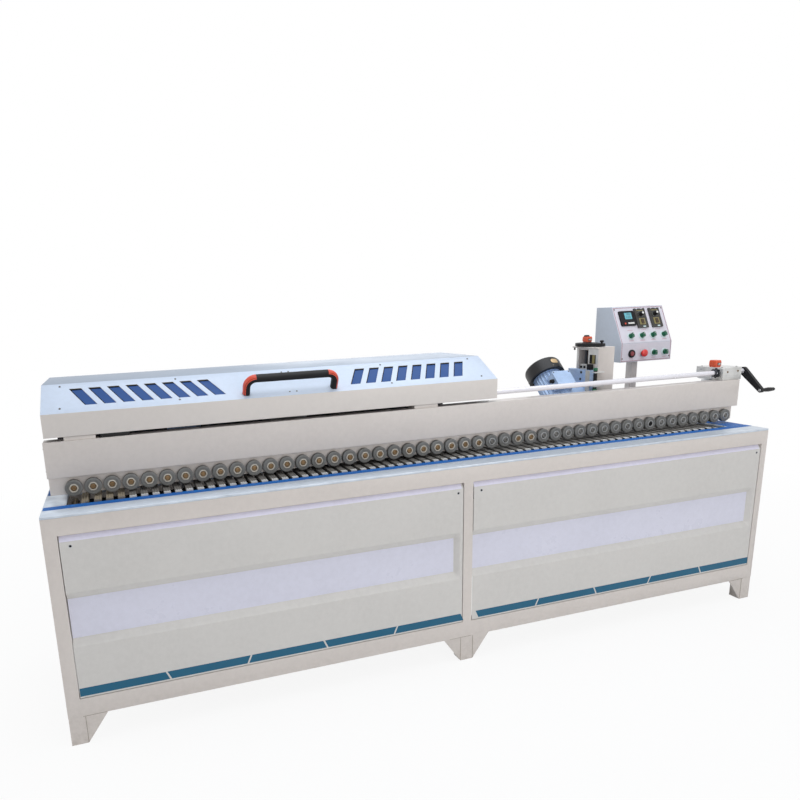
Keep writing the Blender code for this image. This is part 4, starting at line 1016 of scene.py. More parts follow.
def make_crank():
    """The crank's arm tapers from its boss to the grip's pin, and the grip is a turned handle."""
    arm_low, arm_high = corners("crank_arm")
    grip_low, grip_high = corners("crank_grip")
    shaft_y, shaft_z = middle_of("cross_shaft")[1:]
    grip_y, grip_z = middle_of("crank_grip")[1:]
    reach = math.hypot(shaft_y - grip_y, shaft_z - grip_z)
    down = math.atan2(grip_z - shaft_z, grip_y - shaft_y)
    big, small = 0.0185, 0.0115
    slant = math.acos((big - small) / reach)
    near = np.linspace(slant, math.tau - slant, 14)
    far = np.linspace(-slant, slant, 10)
    outline = np.vstack([
        np.column_stack([big * np.cos(near), big * np.sin(near)]),
        np.column_stack([reach + small * np.cos(far), small * np.sin(far)]),
    ])
    c, s = math.cos(down), math.sin(down)
    outline = outline @ np.array([(c, s), (-s, c)])
    thick = arm_high[0] - arm_low[0]
    at_shaft, at_grip = (arm_low[0], shaft_y, shaft_z), (arm_low[0], grip_y, grip_z)
    boss = [
        (0, thick), (0.0165, thick), (0.0165, thick + 0.002), (0.014, thick + 0.0035), (0, thick + 0.0035),
    ]
    nut = [(0, -0.002), (0.007, -0.002), (0.0074, -0.001), (0.0074, 0.0), (0, 0.0)]
    parts = [
        fitted(crank_enamel, drawn(outline, 0, thick), at_shaft, SIDEWAYS),
        fitted(crank_enamel, turned(boss, 24), at_shaft, SIDEWAYS),
        fitted(steel, screw_head(0.0062, 0.0035), (arm_high[0] + 0.0033, shaft_y, shaft_z), SIDEWAYS),
        fitted(steel, turned(nut, 6), at_grip, SIDEWAYS),
    ]
    piece("crank_arm_cast", "crank", parts, ["crank_arm"], 0.0018, 3)

    length = grip_high[0] - grip_low[0]
    share = np.linspace(0, 1, 18)
    swell = 0.0078 + 0.0022 * np.sin(np.pi * share) ** 2 + 0.0006 * np.sin(5 * np.pi * share) ** 2
    swell[[0, -1]] *= 0.82
    profile = [(0, 0), *zip(swell, share * length), (0, length)]
    grip = moved(turned(profile, 24), (grip_low[0], grip_y, grip_z), SIDEWAYS)
    cap = moved(screw_head(0.0042, 0.0012), (grip_high[0] - 0.0004, grip_y, grip_z), SIDEWAYS)
    piece("crank_grip_turned", "grip", [(crank_enamel, grip), (steel, cap)], ["crank_grip"])


# ---------------------------------------------------------------- hood

SLOPE_ANGLE = math.atan2(0.087, 0.155)
SLOTS, SLOT_MARGIN, SLOT_PITCH, SLOT_WIDTH, SLOT_LEAN = 8, 0.147, 0.0655, 0.0415, 0.053
SLOT_LOW, SLOT_HIGH, SLOT_DEPTH = 0.040, 0.144, 0.0022
HOOD_FRONT_HEIGHT = 0.0825


def make_hood():
    """The folded hood with windows, slots and screws, and painted light: sky reflection on its slope, shade
    on its top, inside and slot edges.
    """
    low, high = corners("hood_shell")
    bend = np.array([0, low[1], low[2] + HOOD_FRONT_HEIGHT])
    slope = leaning(SLOPE_ANGLE)
    middle = middle_of("hood_shell")
    softened("hood_shell", hood_paint, 0.0018, also=(
        # The slope takes a painted sky reflection and the flat top painted shade.
        (hood_slope_painted_sky_reflection, lambda centre, normal: normal[2] > 0.5),
        (hood_top_painted_shade, lambda centre, normal: normal[2] > 0.97),
        # Inside faces take painted shade.
        (painted_shade_under_hood, lambda centre, normal: normal @ (middle - centre) > 0.0),
    ))
    for side in ("left", "right"):
        softened(f"hood_window_{side}", window_blue, 0.0005)

    screws = []
    for along, up in ((0.063, 0.027), (0.063, 0.160), (0.4745, 0.027), (0.4745, 0.160)):
        for x in (low[0] + along, high[0] - along):
            screws.append(fitted(bolt_grey, screw_head(0.0038, 0.0022), bend + slope @ (x, up, 0), slope))
    handle_x = middle_of("hood_handle")[0]
    for along in (-0.009, 0.019):
        for up in (0.023, 0.157):
            place = bend + slope @ (handle_x + along + 0.003, up, 0)
            screws.append(fitted(bolt_grey, screw_head(0.0032, 0.0018), place, slope))
    piece("hood_screws", "hood", screws)

    screws_and_slot_shadows = []
    for side in ("left", "right"):
        window_low, window_high = corners(f"hood_window_{side}")
        for x in np.linspace(window_low[0] + 0.02, window_high[0] - 0.02, 4):
            for up in (0.030, 0.154):
                place = bend + slope @ (x, up, -0.0075)
                screws_and_slot_shadows.append(fitted(steel, screw_head(0.004, 0.002), place, slope))
    # Black strips along each slot's top and left edge are painted shadow of the sheet's thickness.
    rim, edge = 0.0085, 0.0038
    kept = 1 - rim / (SLOT_HIGH - SLOT_LOW)
    for index in range(SLOTS):
        reach = SLOT_MARGIN + index * SLOT_PITCH
        for at, lean in ((low[0] + reach, -SLOT_LEAN), (high[0] - reach - SLOT_WIDTH, SLOT_LEAN)):
            far, rim_low = at + SLOT_WIDTH, SLOT_HIGH - rim
            top = [
                (at + lean * kept, rim_low), (far + lean * kept, rim_low), (far + lean, SLOT_HIGH),
                (at + lean, SLOT_HIGH),
            ]
            side = [
                (at, SLOT_LOW), (at + edge, SLOT_LOW), (at + edge + lean, SLOT_HIGH),
                (at + lean, SLOT_HIGH),
            ]
            for outline in (top, side):
                slot_shadow = drawn(outline, -SLOT_DEPTH, -SLOT_DEPTH + 0.0012)
                screws_and_slot_shadows.append(fitted(black_matt, slot_shadow, bend, slope))
    piece("window_screws_and_slot_shadows", "hood", screws_and_slot_shadows)
    make_handle(bend, slope, handle_x)


def make_handle(bend, slope, handle_x):
    """A flattened tube carried up one leg, round two corners and down the other leg, with a red
    cover over the outside of each corner."""
    low, high = corners("hood_handle")
    half = (high[0] - low[0]) / 2 - 0.0135
    height, corner = 0.0665, 0.034
    turn = np.linspace(0, math.pi / 2, 9)
    centre_x, centre_z = -half + corner, height - corner
    left_turn = [(centre_x - corner * math.cos(a), 0, centre_z + corner * math.sin(a)) for a in turn]
    path = np.array([(-half, 0, 0.0004), (-half, 0, 0.014), *left_turn])
    mirrored = path[::-1] * (-1, 1, 1)
    bar = [(share * half, 0, height) for share in (-0.5, 0, 0.5)]
    whole = np.vstack([path, bar, mirrored])
    t = np.linspace(0, math.tau, 20, endpoint=False)
    section = np.column_stack([
        0.0132 * np.sign(np.cos(t)) * np.abs(np.cos(t)) ** 0.7,
        0.0148 * np.sign(np.sin(t)) * np.abs(np.sin(t)) ** 0.7,
    ])
    place = bend + slope @ (handle_x, 0.031, 0.0003)
    parts = [fitted(black_plastic, carried(section, whole, (0, 1, 0)), place, slope)]
    arc = np.linspace(math.radians(112), math.radians(248), 11)
    shell = np.vstack([
        np.column_stack([0.0150 * np.cos(arc), 0.0160 * np.sin(arc)]),
        np.column_stack([0.0122 * np.cos(arc[::-1]), 0.0138 * np.sin(arc[::-1])]),
    ])
    cover_path = np.vstack([[(-half, 0, 0.002), (-half, 0, 0.018)], left_turn])
    cover = carried(shell, cover_path, (0, 1, 0))
    mirror = (cover[0] * (-1, 1, 1), cover[1])
    parts += [fitted(red_plastic, shape, place, slope) for shape in (cover, mirror)]
    piece("hood_handle_grip", "hood", parts, ["hood_handle"])


# ---------------------------------------------------------------- units under the hood

def finned(radius, depth, count, low, high):
    """A ribbed motor housing: the radius is r + depth times a narrow wave of the turn, with
    the ribs fading out at both ends."""
    turn = np.linspace(0, math.tau, count * 6, endpoint=False)
    wave = np.clip(2.4 * np.cos(count * turn) - 0.6, 0, 1)
    z = np.array([low, low + 0.003, low + 0.006, high - 0.006, high - 0.003, high])
    share = np.array([0, 0.1, 1, 1, 0.1, 0])
    r = radius + depth * share[:, None] * wave[None, :]
    return skin(field(r * np.cos(turn), r * np.sin(turn), z[:, None]), ring=True, ends=True)


def make_units():
    """The plate under the hood with the trimming motor, the glue roller and the glue pot."""
    plate_z = corners("unit_base_plate")[0][2] + 0.05
    softened("unit_base_plate", steel, 0.0008, also=(
        (cream, lambda centre, normal: centre[2] > plate_z),
        # Front faces of the plate's upper part take painted shade from the hood.
        (painted_shade_under_hood, lambda centre, normal: centre[2] > plate_z and normal[1] < -0.5),
    ))
    low, high = corners("premill_motor")
    at = middle_of("premill_cutter") * (1, 1, 0)
    softened("premill_motor", cast_blue, 0.003, 3)
    top, skirt = high[2], high[2] - 0.05
    ribs = finned(0.0615, 0.004, 30, low[2] + 0.05, top - 0.055)
    cap = [(0, skirt), (0.0655, skirt), (0.0655, top - 0.008), (0.058, top - 0.0005), (0, top + 0.0008)]
    shapes = [fitted(cast_blue, ribs, at), fitted(fan_black, turned(cap, 32), at)]
    piece("premill_motor_ribs", "base", shapes)
    softened("premill_cutter", carbide, 0.0008)
    softened("glue_roller", steel, 0.0015)

    softened("glue_pot", pot_alloy, 0.003, 3)
    low, high = corners("glue_pot")
    x, y, z = middle_of("glue_pot")[0], high[1], low[2]
    glue = block((low[0] + 0.0102, y - 0.1399, z + 0.0905), (high[0] - 0.0102, y - 0.0101, z + 0.17))
    heater = [(0, 0), (0.007, 0), (0.007, 0.03), (0.005, 0.034), (0, 0.034)]
    fittings = [(glue_amber, glue)]
    for dx in (-0.05, 0, 0.05):
        place = (x + dx, y - 0.002, z + 0.05)
        fittings.append(fitted(steel, turned(heater, 16, 6, 0.05), place, BACKWARDS))
        place = (x + dx, y - 0.1502, z + 0.215)
        fittings.append(fitted(steel, screw_head(0.005, 0.003), place, FORWARDS))
    piece("glue_and_heaters", "base", fittings)


# ---------------------------------------------------------------- finishing unit

def make_column():
    """The column, with guides and slots on its left side, one slot a black strip of painted shade, and a
    bolt hanging under its cap.
    """
    softened("slide_column", cream, 0.0015)
    low, high = corners("slide_column")
    left_face, front_face = low[0] + 0.012, low[1]
    cap_z = high[2] - 0.007
    travel_top = corners("slide_carriage")[1][2] + 0.029
    strips = (
        (0.002, 0.067, 0.0006, 0.0001, 0.002, bracket_alloy),
        (0.137, 0.149, 0.0006, 0.0001, 0.002, bracket_alloy),
        # A black strip of painted shade stands for the slot in the guide plate.
        (0.017, 0.0576, 0.0010, 0.0006, 0.030, black_matt),
        (0.023, 0.040, 0.0013, 0.0006, 0.030, olive_plastic),
    )
    guides = []
    for y0, y1, out, within, drop, finish in strips:
        near = (left_face - out, front_face + y0, travel_top)
        far = (left_face - within, front_face + y1, cap_z - drop)
        guides.append((finish, block(near, far)))
    hanging_at = (left_face - 0.006, high[1] - 0.010, cap_z)
    guides.append(fitted(black_matt, barrel(0, 0.004, -0.011, 0, 12, 6, 0.05), hanging_at))
    piece("column_guides", "base", guides)
    make_blow_cylinder(left_face - 0.026, front_face - 0.016)


def make_blow_cylinder(x, y):
    """A slim air cylinder with a green ring at each end, its rod and its two arms."""
    ring = [(0.0070, 0), (0.0098, 0), (0.0102, 0.001), (0.0102, 0.012), (0.0098, 0.013), (0.0070, 0.013)]
    arm = [
        (-0.010, -0.010), (0.044, -0.010), (0.044, 0.0165), (0.030, 0.0165), (0.030, 0.010),
        (-0.010, 0.010),
    ]
    parts = [fitted(black_plastic, barrel(0, 0.0088, 1.046, 1.146, 20), (x, y, 0))]
    parts += [fitted(ring_green, turned(ring, 20), (x, y, z)) for z in (1.040, 1.139)]
    parts.append(fitted(steel, barrel(0, 0.004, 0.88, 1.05, 12), (x, y, 0)))
    parts += [fitted(bracket_alloy, drawn(arm, 0, 0.006), (x, y, z)) for z in (1.062, 1.128)]
    piece("chip_blow_cylinder", "base", parts)


def make_slide_crank():
    """The lever on the column with its knob, and the screw that it turns."""
    counter_low, counter_high = corners("slide_indicator")
    x, y = middle_of("slide_indicator")[:2]
    lever_low = counter_low[2] - 0.0193
    big, small, far, thick = 0.054, 0.016, (0.010, -0.088), 0.0145
    turn_big = np.linspace(0, math.pi, 18)
    turn_small = np.linspace(math.pi, math.tau, 10)
    outline = np.vstack([
        np.column_stack([big * np.cos(turn_big), big * np.sin(turn_big)]),
        [(-0.043, -0.020), (-0.020, -0.052)],
        np.column_stack([far[0] + small * np.cos(turn_small), far[1] + small * np.sin(turn_small)]),
        [(0.033, -0.046), (0.046, -0.018)],
    ])
    boss = [(0, thick - 0.001), (0.026, thick - 0.001), (0.0185, thick + 0.0045), (0, thick + 0.0045)]
    knob = [
        (0, thick), (0.0045, thick), (0.0045, thick + 0.004), (0.0088, thick + 0.006),
        (0.0090, thick + 0.012), (0.0075, thick + 0.014), (0, thick + 0.0145),
    ]
    at = (x, y, lever_low)
    parts = [
        fitted(crank_enamel, drawn(outline, 0, thick), at),
        fitted(crank_enamel, turned(boss, 28), at),
        fitted(black_plastic, turned(knob, 20), (x + far[0], y + far[1], lever_low)),
    ]
    piece("slide_lever", "slide_spindle", parts, ["slide_crank"], 0.0022, 3)
    screw = threaded(0.0079, 0.0011, 0.005, corners("slide_crank")[0][2], lever_low)
    piece("slide_lead_screw", "slide_spindle", [fitted(blackened, screw, (x, y, 0))])
    make_counter("slide_indicator", "slide_counter", "slide_spindle")
    cap = turned([(0, 0), (0.013, 0), (0.013, 0.004), (0.010, 0.008), (0, 0.008)], 24)
    cap_at = (x - 0.002, y + 0.003, counter_high[2] - 0.001)
    piece("slide_counter_cap", "slide_spindle", [fitted(black_plastic, cap, cap_at)])


def make_finishing_motor():
    """Motor, fan cover and cutter share one tilted axis, 45 degrees from upright."""
    pivot = np.array([middle_of("motor_fan_cover")[0], front + 0.3141, table_z + 0.0341])
    tilt = leaning(math.radians(-45))
    make_motor_body(pivot, tilt)
    make_fan_cover(pivot, tilt)
    cutter = [
        (0, 0.0715), (0.0098, 0.0715), (0.0098, 0.035), (0.030, 0.034), (0.030, 0.0), (0.012, 0.0),
        (0.010, 0.004), (0, 0.004),
    ]
    head = fitted(carbide, turned(cutter, 32, 4, 0.03), pivot, tilt)
    piece("finishing_cutter_head", "finishing_spindle", [head], ["finishing_cutter"])


def make_motor_body(pivot, tilt):
    """The ribbed housing with its flange, a black band of painted shade for its groove, the terminal box
    and the mounting foot.
    """
    body = [
        (0, 0.072), (0.050, 0.072), (0.052, 0.075), (0.052, 0.092), (0.074, 0.098), (0.076, 0.101),
        (0.076, 0.108), (0.0745, 0.110), (0.0665, 0.112), (0.0665, 0.128), (0, 0.128),
    ]
    ribs = finned(0.0625, 0.0055, 26, 0.127, 0.305)
    ring = [(0.04, 0.301), (0.0675, 0.301), (0.068, 0.303), (0.068, 0.310), (0.066, 0.312), (0.04, 0.312)]
    # The groove is a black band standing proud: painted shade.
    groove = barrel(0.060, 0.0690, 0.1125, 0.1165, 36)
    box_middle = np.array([-0.002, 0, 0.2195])
    parts = [
        (cast_blue, turned(body, 36)), (cast_blue, ribs), (cast_blue, turned(ring, 36)),
        (black_matt, groove),
    ]
    for finish, half_x, half_y, thick, out in (
        (cast_blue, 0.0495, 0.0425, 0.0425, 0.054),
        (cast_blue, 0.050, 0.0435, 0.005, 0.0958),
        (black_matt, 0.0485, 0.042, 0.0012, 0.0950),
    ):
        layer = drawn(rounded(half_x, half_y, 0.006), 0, thick)
        parts.append(fitted(finish, layer, box_middle - (0, out, 0), FORWARDS))
    for sx in (-1, 1):
        for sz in (-1, 1):
            place = box_middle + (sx * 0.043, -0.1007, sz * 0.036)
            parts.append(fitted(bolt_grey, screw_head(0.0032, 0.002), place, FORWARDS))
    gland = [
        (0, 0), (0.010, 0), (0.010, 0.008), (0.0085, 0.010), (0.0085, 0.016), (0.005, 0.018), (0, 0.018),
    ]
    place = box_middle + (-0.0495, -0.079, 0)
    parts.append(fitted(black_plastic, turned(gland, 18, 6, 0.04), place, LEFTWARDS))
    reach = corners("slide_carriage")[0][0] - pivot[0] - 0.0003
    parts.append((cast_blue, block((0.030, -0.040, 0.138), (reach, 0.040, 0.233))))
    parts.append((black_matt, block((0.0520, -0.0410, 0.1375), (0.0560, -0.0390, 0.2335))))
    shapes = all_fitted(parts, pivot, tilt)
    piece("finishing_motor_body", "carriage", shapes, ["finishing_motor"], 0.0012)


def make_fan_cover(pivot, tilt):
    """A pressed cover with rings of slots drawn as black marks of painted shade, three screws and a gold
    plate on its side.
    """
    r, low, high = 0.0885, 0.301, 0.373
    cover = [
        (0.0715, low), (r, low), (r, high - 0.016), (r - 0.0035, high - 0.007), (r - 0.011, high - 0.0015),
        (r - 0.018, high), (0.012, high), (0.012, high - 0.003), (r - 0.019, high - 0.003),
        (r - 0.012, high - 0.0045), (r - 0.006, high - 0.009), (r - 0.003, high - 0.017),
        (r - 0.003, low + 0.003), (0.0715, low + 0.003),
    ]
    parts = [(fan_black, turned(cover, 48))]
    hub = [(0, high - 0.003), (0.0125, high - 0.003), (0.0125, high + 0.0006), (0, high + 0.0010)]
    parts.append((fan_black, turned(hub, 24)))
    # The slots are thin black marks on the cover: painted shade of openings.
    for radius in (0.022, 0.034, 0.046, 0.058):
        spread = radius * np.array([[math.cos(a), math.sin(a)] for a in np.linspace(-0.28, 0.28, 6)])
        near = spread * (1 - 0.0022 / radius)
        far = spread[::-1] * (1 + 0.0022 / radius)
        slot_shape = drawn(np.vstack([far, near]), high + 0.0002, high + 0.0006)
        for turn in np.arange(8) * math.tau / 8 + 0.1:
            c, s = math.cos(turn), math.sin(turn)
            parts.append(fitted(black_matt, slot_shape, axes=np.array([(c, -s, 0), (s, c, 0), (0, 0, 1)])))
    for turn in (0.6, 2.6, 4.6):
        c, s = math.cos(turn), math.sin(turn)
        axes = np.array([(-s, 0, c), (c, 0, s), (0, 1, 0)], float)
        parts.append(fitted(bolt_grey, screw_head(0.0035, 0.002), (r * c, r * s, low + 0.010), axes))
    turn = math.radians(-84)
    across, up = np.meshgrid(np.linspace(-1, 1, 15), np.linspace(-1, 1, 9))
    across = across * np.sqrt(np.clip(1 - 0.5 * up ** 2, 0, 1))
    up = up * np.sqrt(np.clip(1 - 0.5 * across ** 2, 0, 1))
    angle = turn + across * 0.23
    outside, thick = r + 0.0009, 0.0006
    plate = field(outside * np.cos(angle), outside * np.sin(angle), low + 0.036 + up * 0.0125)
    parts.append((gold_plate, folded(plate, (-thick * math.cos(turn), -thick * math.sin(turn), 0))))
    shapes = all_fitted(parts, pivot, tilt)
    piece("motor_fan_cover_pressed", "carriage", shapes, ["motor_fan_cover"])


def make_carriage():
    """The sliding carriage with its screw holes, their centres black as painted shade, a cream strip of
    painted highlight along its front edge, and a pad with two nuts.
    """
    softened("slide_carriage", cast_blue, 0.0015)
    low, high = corners("slide_carriage")
    face = low[0]
    holes = []
    for y, z in ((0.0952, 1.1238), (0.0991, 1.0904), (0.0585, 1.032), (0.150, 1.06), (0.150, 1.02)):
        holes.append(fitted(bolt_grey, barrel(0.0045, 0.0068, 0, 0.0008, 20), (face, y, z), LEFTWARDS))
        # The black disc in each hole is painted shade.
        holes.append(fitted(black_matt, barrel(0, 0.0056, 0, 0.0005, 16), (face, y, z), LEFTWARDS))
    # A cream strip along the front edge of the face: a painted highlight.
    near = (face - 0.0007, low[1] + 0.001, low[2] + 0.03)
    far = (face - 0.0001, low[1] + 0.030, high[2] - 0.002)
    holes.append((hub_cream, block(near, far)))
    pad = block((face + 0.001, 0.062, high[2] - 0.001), (face + 0.018, 0.104, high[2] + 0.026))
    holes.append((bracket_alloy, pad))
    nut = turned([(0, 0), (0.0062, 0), (0.0062, 0.005), (0.0055, 0.006), (0, 0.006)], 6)
    for y in (0.073, 0.096):
        holes.append(fitted(black_matt, nut, (face + 0.001, y, high[2] + 0.013), LEFTWARDS))
    stop = block((face + 0.002, 0.036, high[2] - 0.001), (face + 0.018, 0.060, high[2] + 0.027))
    holes.append((black_plastic, stop))
    piece("carriage_screws", "carriage", holes, bevel=0.0004)


# ---------------------------------------------------------------- control box

PANEL_RISE, PANEL_RUN = 0.178, 0.081
PANEL_ANGLE = math.atan2(PANEL_RISE, PANEL_RUN)
BOX_FACE_HEIGHT = 0.093
SPEED_PLACES = (("left", 0.159), ("right", 0.2495))
SPEED_UP, DIAL_RISE = 0.1295, 0.020
TEMPERATURE_AT, TEMPERATURE_UP = 0.0745, 0.131
SWITCH_MARGIN, SWITCH_PITCH, SWITCHES = 0.067, 0.0688, 4
SLOPE_SWITCH_UP, FACE_SWITCH_UP = 0.036, 0.041

box_low, box_high = corners("control_box")
panel_axes = leaning(PANEL_ANGLE)
switch_columns = [box_low[0] + SWITCH_MARGIN + SWITCH_PITCH * index for index in range(SWITCHES)]


def up_slope(x, up, out=0.0):
    """A place on the box's sloping panel, from the bend under it."""
    return np.array([0, box_low[1], box_low[2] + BOX_FACE_HEIGHT]) + panel_axes @ (x, up, out)


def on_face(x, height):
    """A place on the box's upright face."""
    return np.array([x, box_low[1], box_low[2] + height])


def make_box_face():
    """The pale print on both faces, with its border lines, faint marks and corner screws."""
    slope_length = math.hypot(PANEL_RISE, PANEL_RUN)
    middle_x = (box_low[0] + box_high[0]) / 2
    half, thin, line = (box_high[0] - box_low[0]) / 2 - 0.002, 0.0004, 0.0022
    inner, top, proud = half - 0.003, slope_length - 0.005, 0.0007
    face = []

    def printed(finish, on_slope, x, x0, x1, y0, y1, out):
        """Adds a thin rectangle of print, on the slope or on the upright face, about x."""
        place, axes = (up_slope(x, 0), panel_axes) if on_slope else (on_face(x, 0), FORWARDS)
        face.append(fitted(finish, block((x0, y0, 0), (x1, y1, out)), place, axes))

    printed(control_face, False, middle_x, -half, half, 0.002, BOX_FACE_HEIGHT - 0.001, thin)
    printed(control_face, True, middle_x, -half, half, 0.001, slope_length - 0.002, thin)
    for at in (-inner, inner - line):
        printed(border_red, False, middle_x, at, at + line, 0.004, BOX_FACE_HEIGHT, proud)
        printed(border_red, True, middle_x, at, at + line, 0, top, proud)
    printed(border_red, False, middle_x, -inner, inner, 0.004, 0.004 + line, proud)
    printed(border_red, True, middle_x, -inner, inner, top - line, top, proud)
    for x in switch_columns:
        printed(print_pink, True, x, -0.014, 0.014, 0.011, 0.014, 0.0006)
        printed(print_pink, False, x, -0.012, 0.012, 0.014, 0.0165, 0.0006)
    for offset in (TEMPERATURE_AT, *(at for _, at in SPEED_PLACES)):
        printed(print_pink, True, box_low[0] + offset, -0.016, 0.016, 0.0665, 0.0690, 0.0006)
    for x in (box_low[0] + 0.012, box_high[0] - 0.012):
        for place, axes in ((on_face(x, 0.018), FORWARDS), (up_slope(x, slope_length - 0.014), panel_axes)):
            face.append(fitted(bolt_grey, screw_head(0.0035, 0.002), place, axes))
    piece("control_box_face", "base", face)


def make_controls():
    """The control box on its post, with six selectors, two buttons and three controllers."""
    softened("control_box", control_side, 0.0014)
    softened("control_post", cream, 0.0015)
    make_box_face()

    rings = []
    ring = [(0.0126, 0), (0.0178, 0), (0.0178, 0.002), (0.0160, 0.0040), (0.0135, 0.0045), (0.0126, 0.003)]
    places = [(up_slope(x, SLOPE_SWITCH_UP), panel_axes) for x in switch_columns]
    places += [(on_face(x, FACE_SWITCH_UP), FORWARDS) for x in switch_columns[2:]]
    for index, (place, axes) in enumerate(places):
        rings.append(fitted(ring_pale, turned(ring, 32), place, axes))
        make_selector(index + 1, place, axes)
    start_place, stop_place = (on_face(x, FACE_SWITCH_UP) for x in switch_columns[:2])
    black_ring = [
        (0.0130, 0), (0.0200, 0), (0.0200, 0.004), (0.0185, 0.0075), (0.0155, 0.0085), (0.0130, 0.007),
    ]
    rings.append(fitted(black_plastic, turned(black_ring, 32), start_place, FORWARDS))
    stem = [(0.0090, 0), (0.0160, 0), (0.0160, 0.0022), (0.0145, 0.0034), (0.0090, 0.0034)]
    rings.append(fitted(steel, turned(stem, 32), stop_place, FORWARDS))
    piece("control_rings", "base", rings)

    button = [
        (0, -0.010), (0.0118, -0.010), (0.0118, 0.0075), (0.0105, 0.0092), (0.007, 0.0098), (0, 0.0100),
    ]
    cap = fitted(button_dark_red, turned(button, 28), start_place, FORWARDS)
    piece("start_button_cap", "start", [cap], ["start_button"])
    mushroom = [
        (0, -0.012), (0.0078, -0.012), (0.0078, 0.009), (0.0165, 0.0105), (0.0183, 0.0125),
        (0.0185, 0.0155), (0.0176, 0.0185), (0.0150, 0.0212), (0.0094, 0.0232), (0, 0.0240),
    ]
    cap = fitted(stop_red, turned(mushroom, 36), stop_place, FORWARDS)
    piece("stop_button_cap", "stop", [cap], ["emergency_stop"])
    make_temperature_controller()
    for side, offset in SPEED_PLACES:
        make_speed_controller(side, box_low[0] + offset)


def make_selector(number, place, axes):
    """A selector's knob: a turned skirt and a grip blade that narrows to a pointer."""
    skirt = [(0, 0), (0.0122, 0), (0.0122, 0.007), (0.0108, 0.0105), (0, 0.0115)]
    sides = [
        (-0.0048, -0.0112), (0.0048, -0.0112), (0.0056, 0.002), (0.0024, 0.0122), (-0.0024, 0.0122),
        (-0.0056, 0.002),
    ]
    mark = block((-0.0007, 0.002, 0.0229), (0.0007, 0.0108, 0.0233))
    parts = [
        fitted(green_plastic, turned(skirt, 28), place, axes),
        fitted(green_plastic, drawn(sides, 0.006, 0.023), place, axes),
        fitted(white_plastic, mark, place, axes),
    ]
    switch = f"selector_switch_{number}"
    piece(f"selector_knob_{number}", f"selector_{number}", parts, [switch], 0.0009)


def make_temperature_controller():
    """A black bezel with a display, a row of keys and a lamp."""
    half_x, half_y = 0.046, 0.040
    bezel = np.stack([
        np.column_stack([rounded(half_x * s, half_y * s, 0.006), np.full(20, z)])
        for s, z in ((1, 0.0003), (1, 0.0055), (0.97, 0.0078), (0.86, 0.0080), (0.84, 0.0064))
    ])
    parts = [
        (black_plastic, skin(bezel, ring=True, ends=True)),
        fitted(display_cyan, drawn(rounded(0.0215, 0.017, 0.002), 0.0062, 0.0072), (0.006, 0.012, 0)),
        (white_plastic, block((-0.004, -0.031, 0.0062), (0.033, -0.023, 0.0078))),
        fitted(red_plastic, drawn(rounded(0.0042, 0.0042, 0.002), 0.0062, 0.0080), (-0.022, -0.028, 0)),
    ]
    for row, text in enumerate(("180", "200")):
        for column, digit in enumerate(text):
            at = (-0.004 + column * 0.010, 0.0205 - row * 0.0155, 0.0071)
            parts.append(fitted(label_black, digit_shape(digit, 0.0095), at))
    for key in range(4):
        at = -0.0015 + key * 0.0095
        parts.append((label_black, block((at, -0.0298, 0.0076), (at + 0.0005, -0.0242, 0.0080))))
    place = up_slope(box_low[0] + TEMPERATURE_AT, TEMPERATURE_UP)
    shapes = all_fitted(parts, place, panel_axes)
    piece("temperature_controller_face", "base", shapes, ["temperature_controller"])


def make_speed_controller(side, x):
    """A speed controller with a notched top edge, a ticked dial, a rocker and a lamp."""
    half_plate = [
        (0.033, -0.0515), (0.033, 0.0515), (0.022, 0.0515), (0.020, 0.0475), (0.010, 0.0475),
        (0.008, 0.0515),
    ]
    plate = [(-0.033, -0.0515), *half_plate, *((-across, up) for across, up in half_plate[:0:-1])]
    parts = [
        (label_black, drawn(plate, 0.0003, 0.0075)),
        (olive_plastic, block((-0.0175, -0.036, 0.0072), (0.0175, -0.002, 0.0086))),
        fitted(brown_plastic, drawn(rounded(0.0085, 0.012, 0.002), 0.0084, 0.0112), (0, -0.019, 0)),
        (olive_plastic, block((-0.020, 0.0375, 0.0072), (0.020, 0.0415, 0.0080))),
        (ring_pale, block((-0.002, -0.0495, 0.0072), (0.014, -0.043, 0.0080))),
    ]
    bar = block((0.0140, -0.0004, 0.0072), (0.0168, 0.0004, 0.0078))
    for tick in np.linspace(math.radians(-45), math.radians(225), 9):
        c, s = math.cos(tick), math.sin(tick)
        turn = np.array([(c, -s, 0), (s, c, 0), (0, 0, 1)])
        parts.append(fitted(ring_pale, bar, (0, DIAL_RISE, 0), turn))
    place = up_slope(x, SPEED_UP)
    shapes = all_fitted(parts, place, panel_axes)
    node = f"speed_controller_{side}"
    piece(f"{node}_face", "base", shapes, [node])

    knob = [
        (0, 0), (0.0115, 0), (0.0115, 0.002), (0.0100, 0.003), (0.0098, 0.013), (0.0085, 0.0165),
        (0, 0.0170),
    ]
    dot = [(0, 0.0165), (0.0056, 0.0165), (0.0056, 0.0175), (0.004, 0.0180), (0, 0.0180)]
    mark = block((-0.0006, 0.0055, 0.0168), (0.0006, 0.0098, 0.0172))
    place = up_slope(x, SPEED_UP + DIAL_RISE, 0.0083)
    parts = [
        fitted(black_plastic, turned(knob, 30, 15, 0.02), place, panel_axes),
        fitted(white_plastic, turned(dot, 16), place, panel_axes),
        fitted(white_plastic, mark, place, panel_axes),
    ]
    piece(f"speed_dial_{side}", f"speed_{side}", parts, [f"speed_knob_{side}"])


# ---------------------------------------------------------------- studio

def lamp(name, place, target, size, power, colour):
    """A square soft light at a place, facing a target."""
    data = bpy.data.lights.new(name, "AREA")
    data.shape, data.size, data.energy, data.color = "SQUARE", size, power, colour
    made = bpy.data.objects.new(name, data)
    made.location = place
    made.rotation_euler = (Vector(target) - Vector(place)).to_track_quat("-Z", "Y").to_euler()
    bpy.context.scene.collection.objects.link(made)


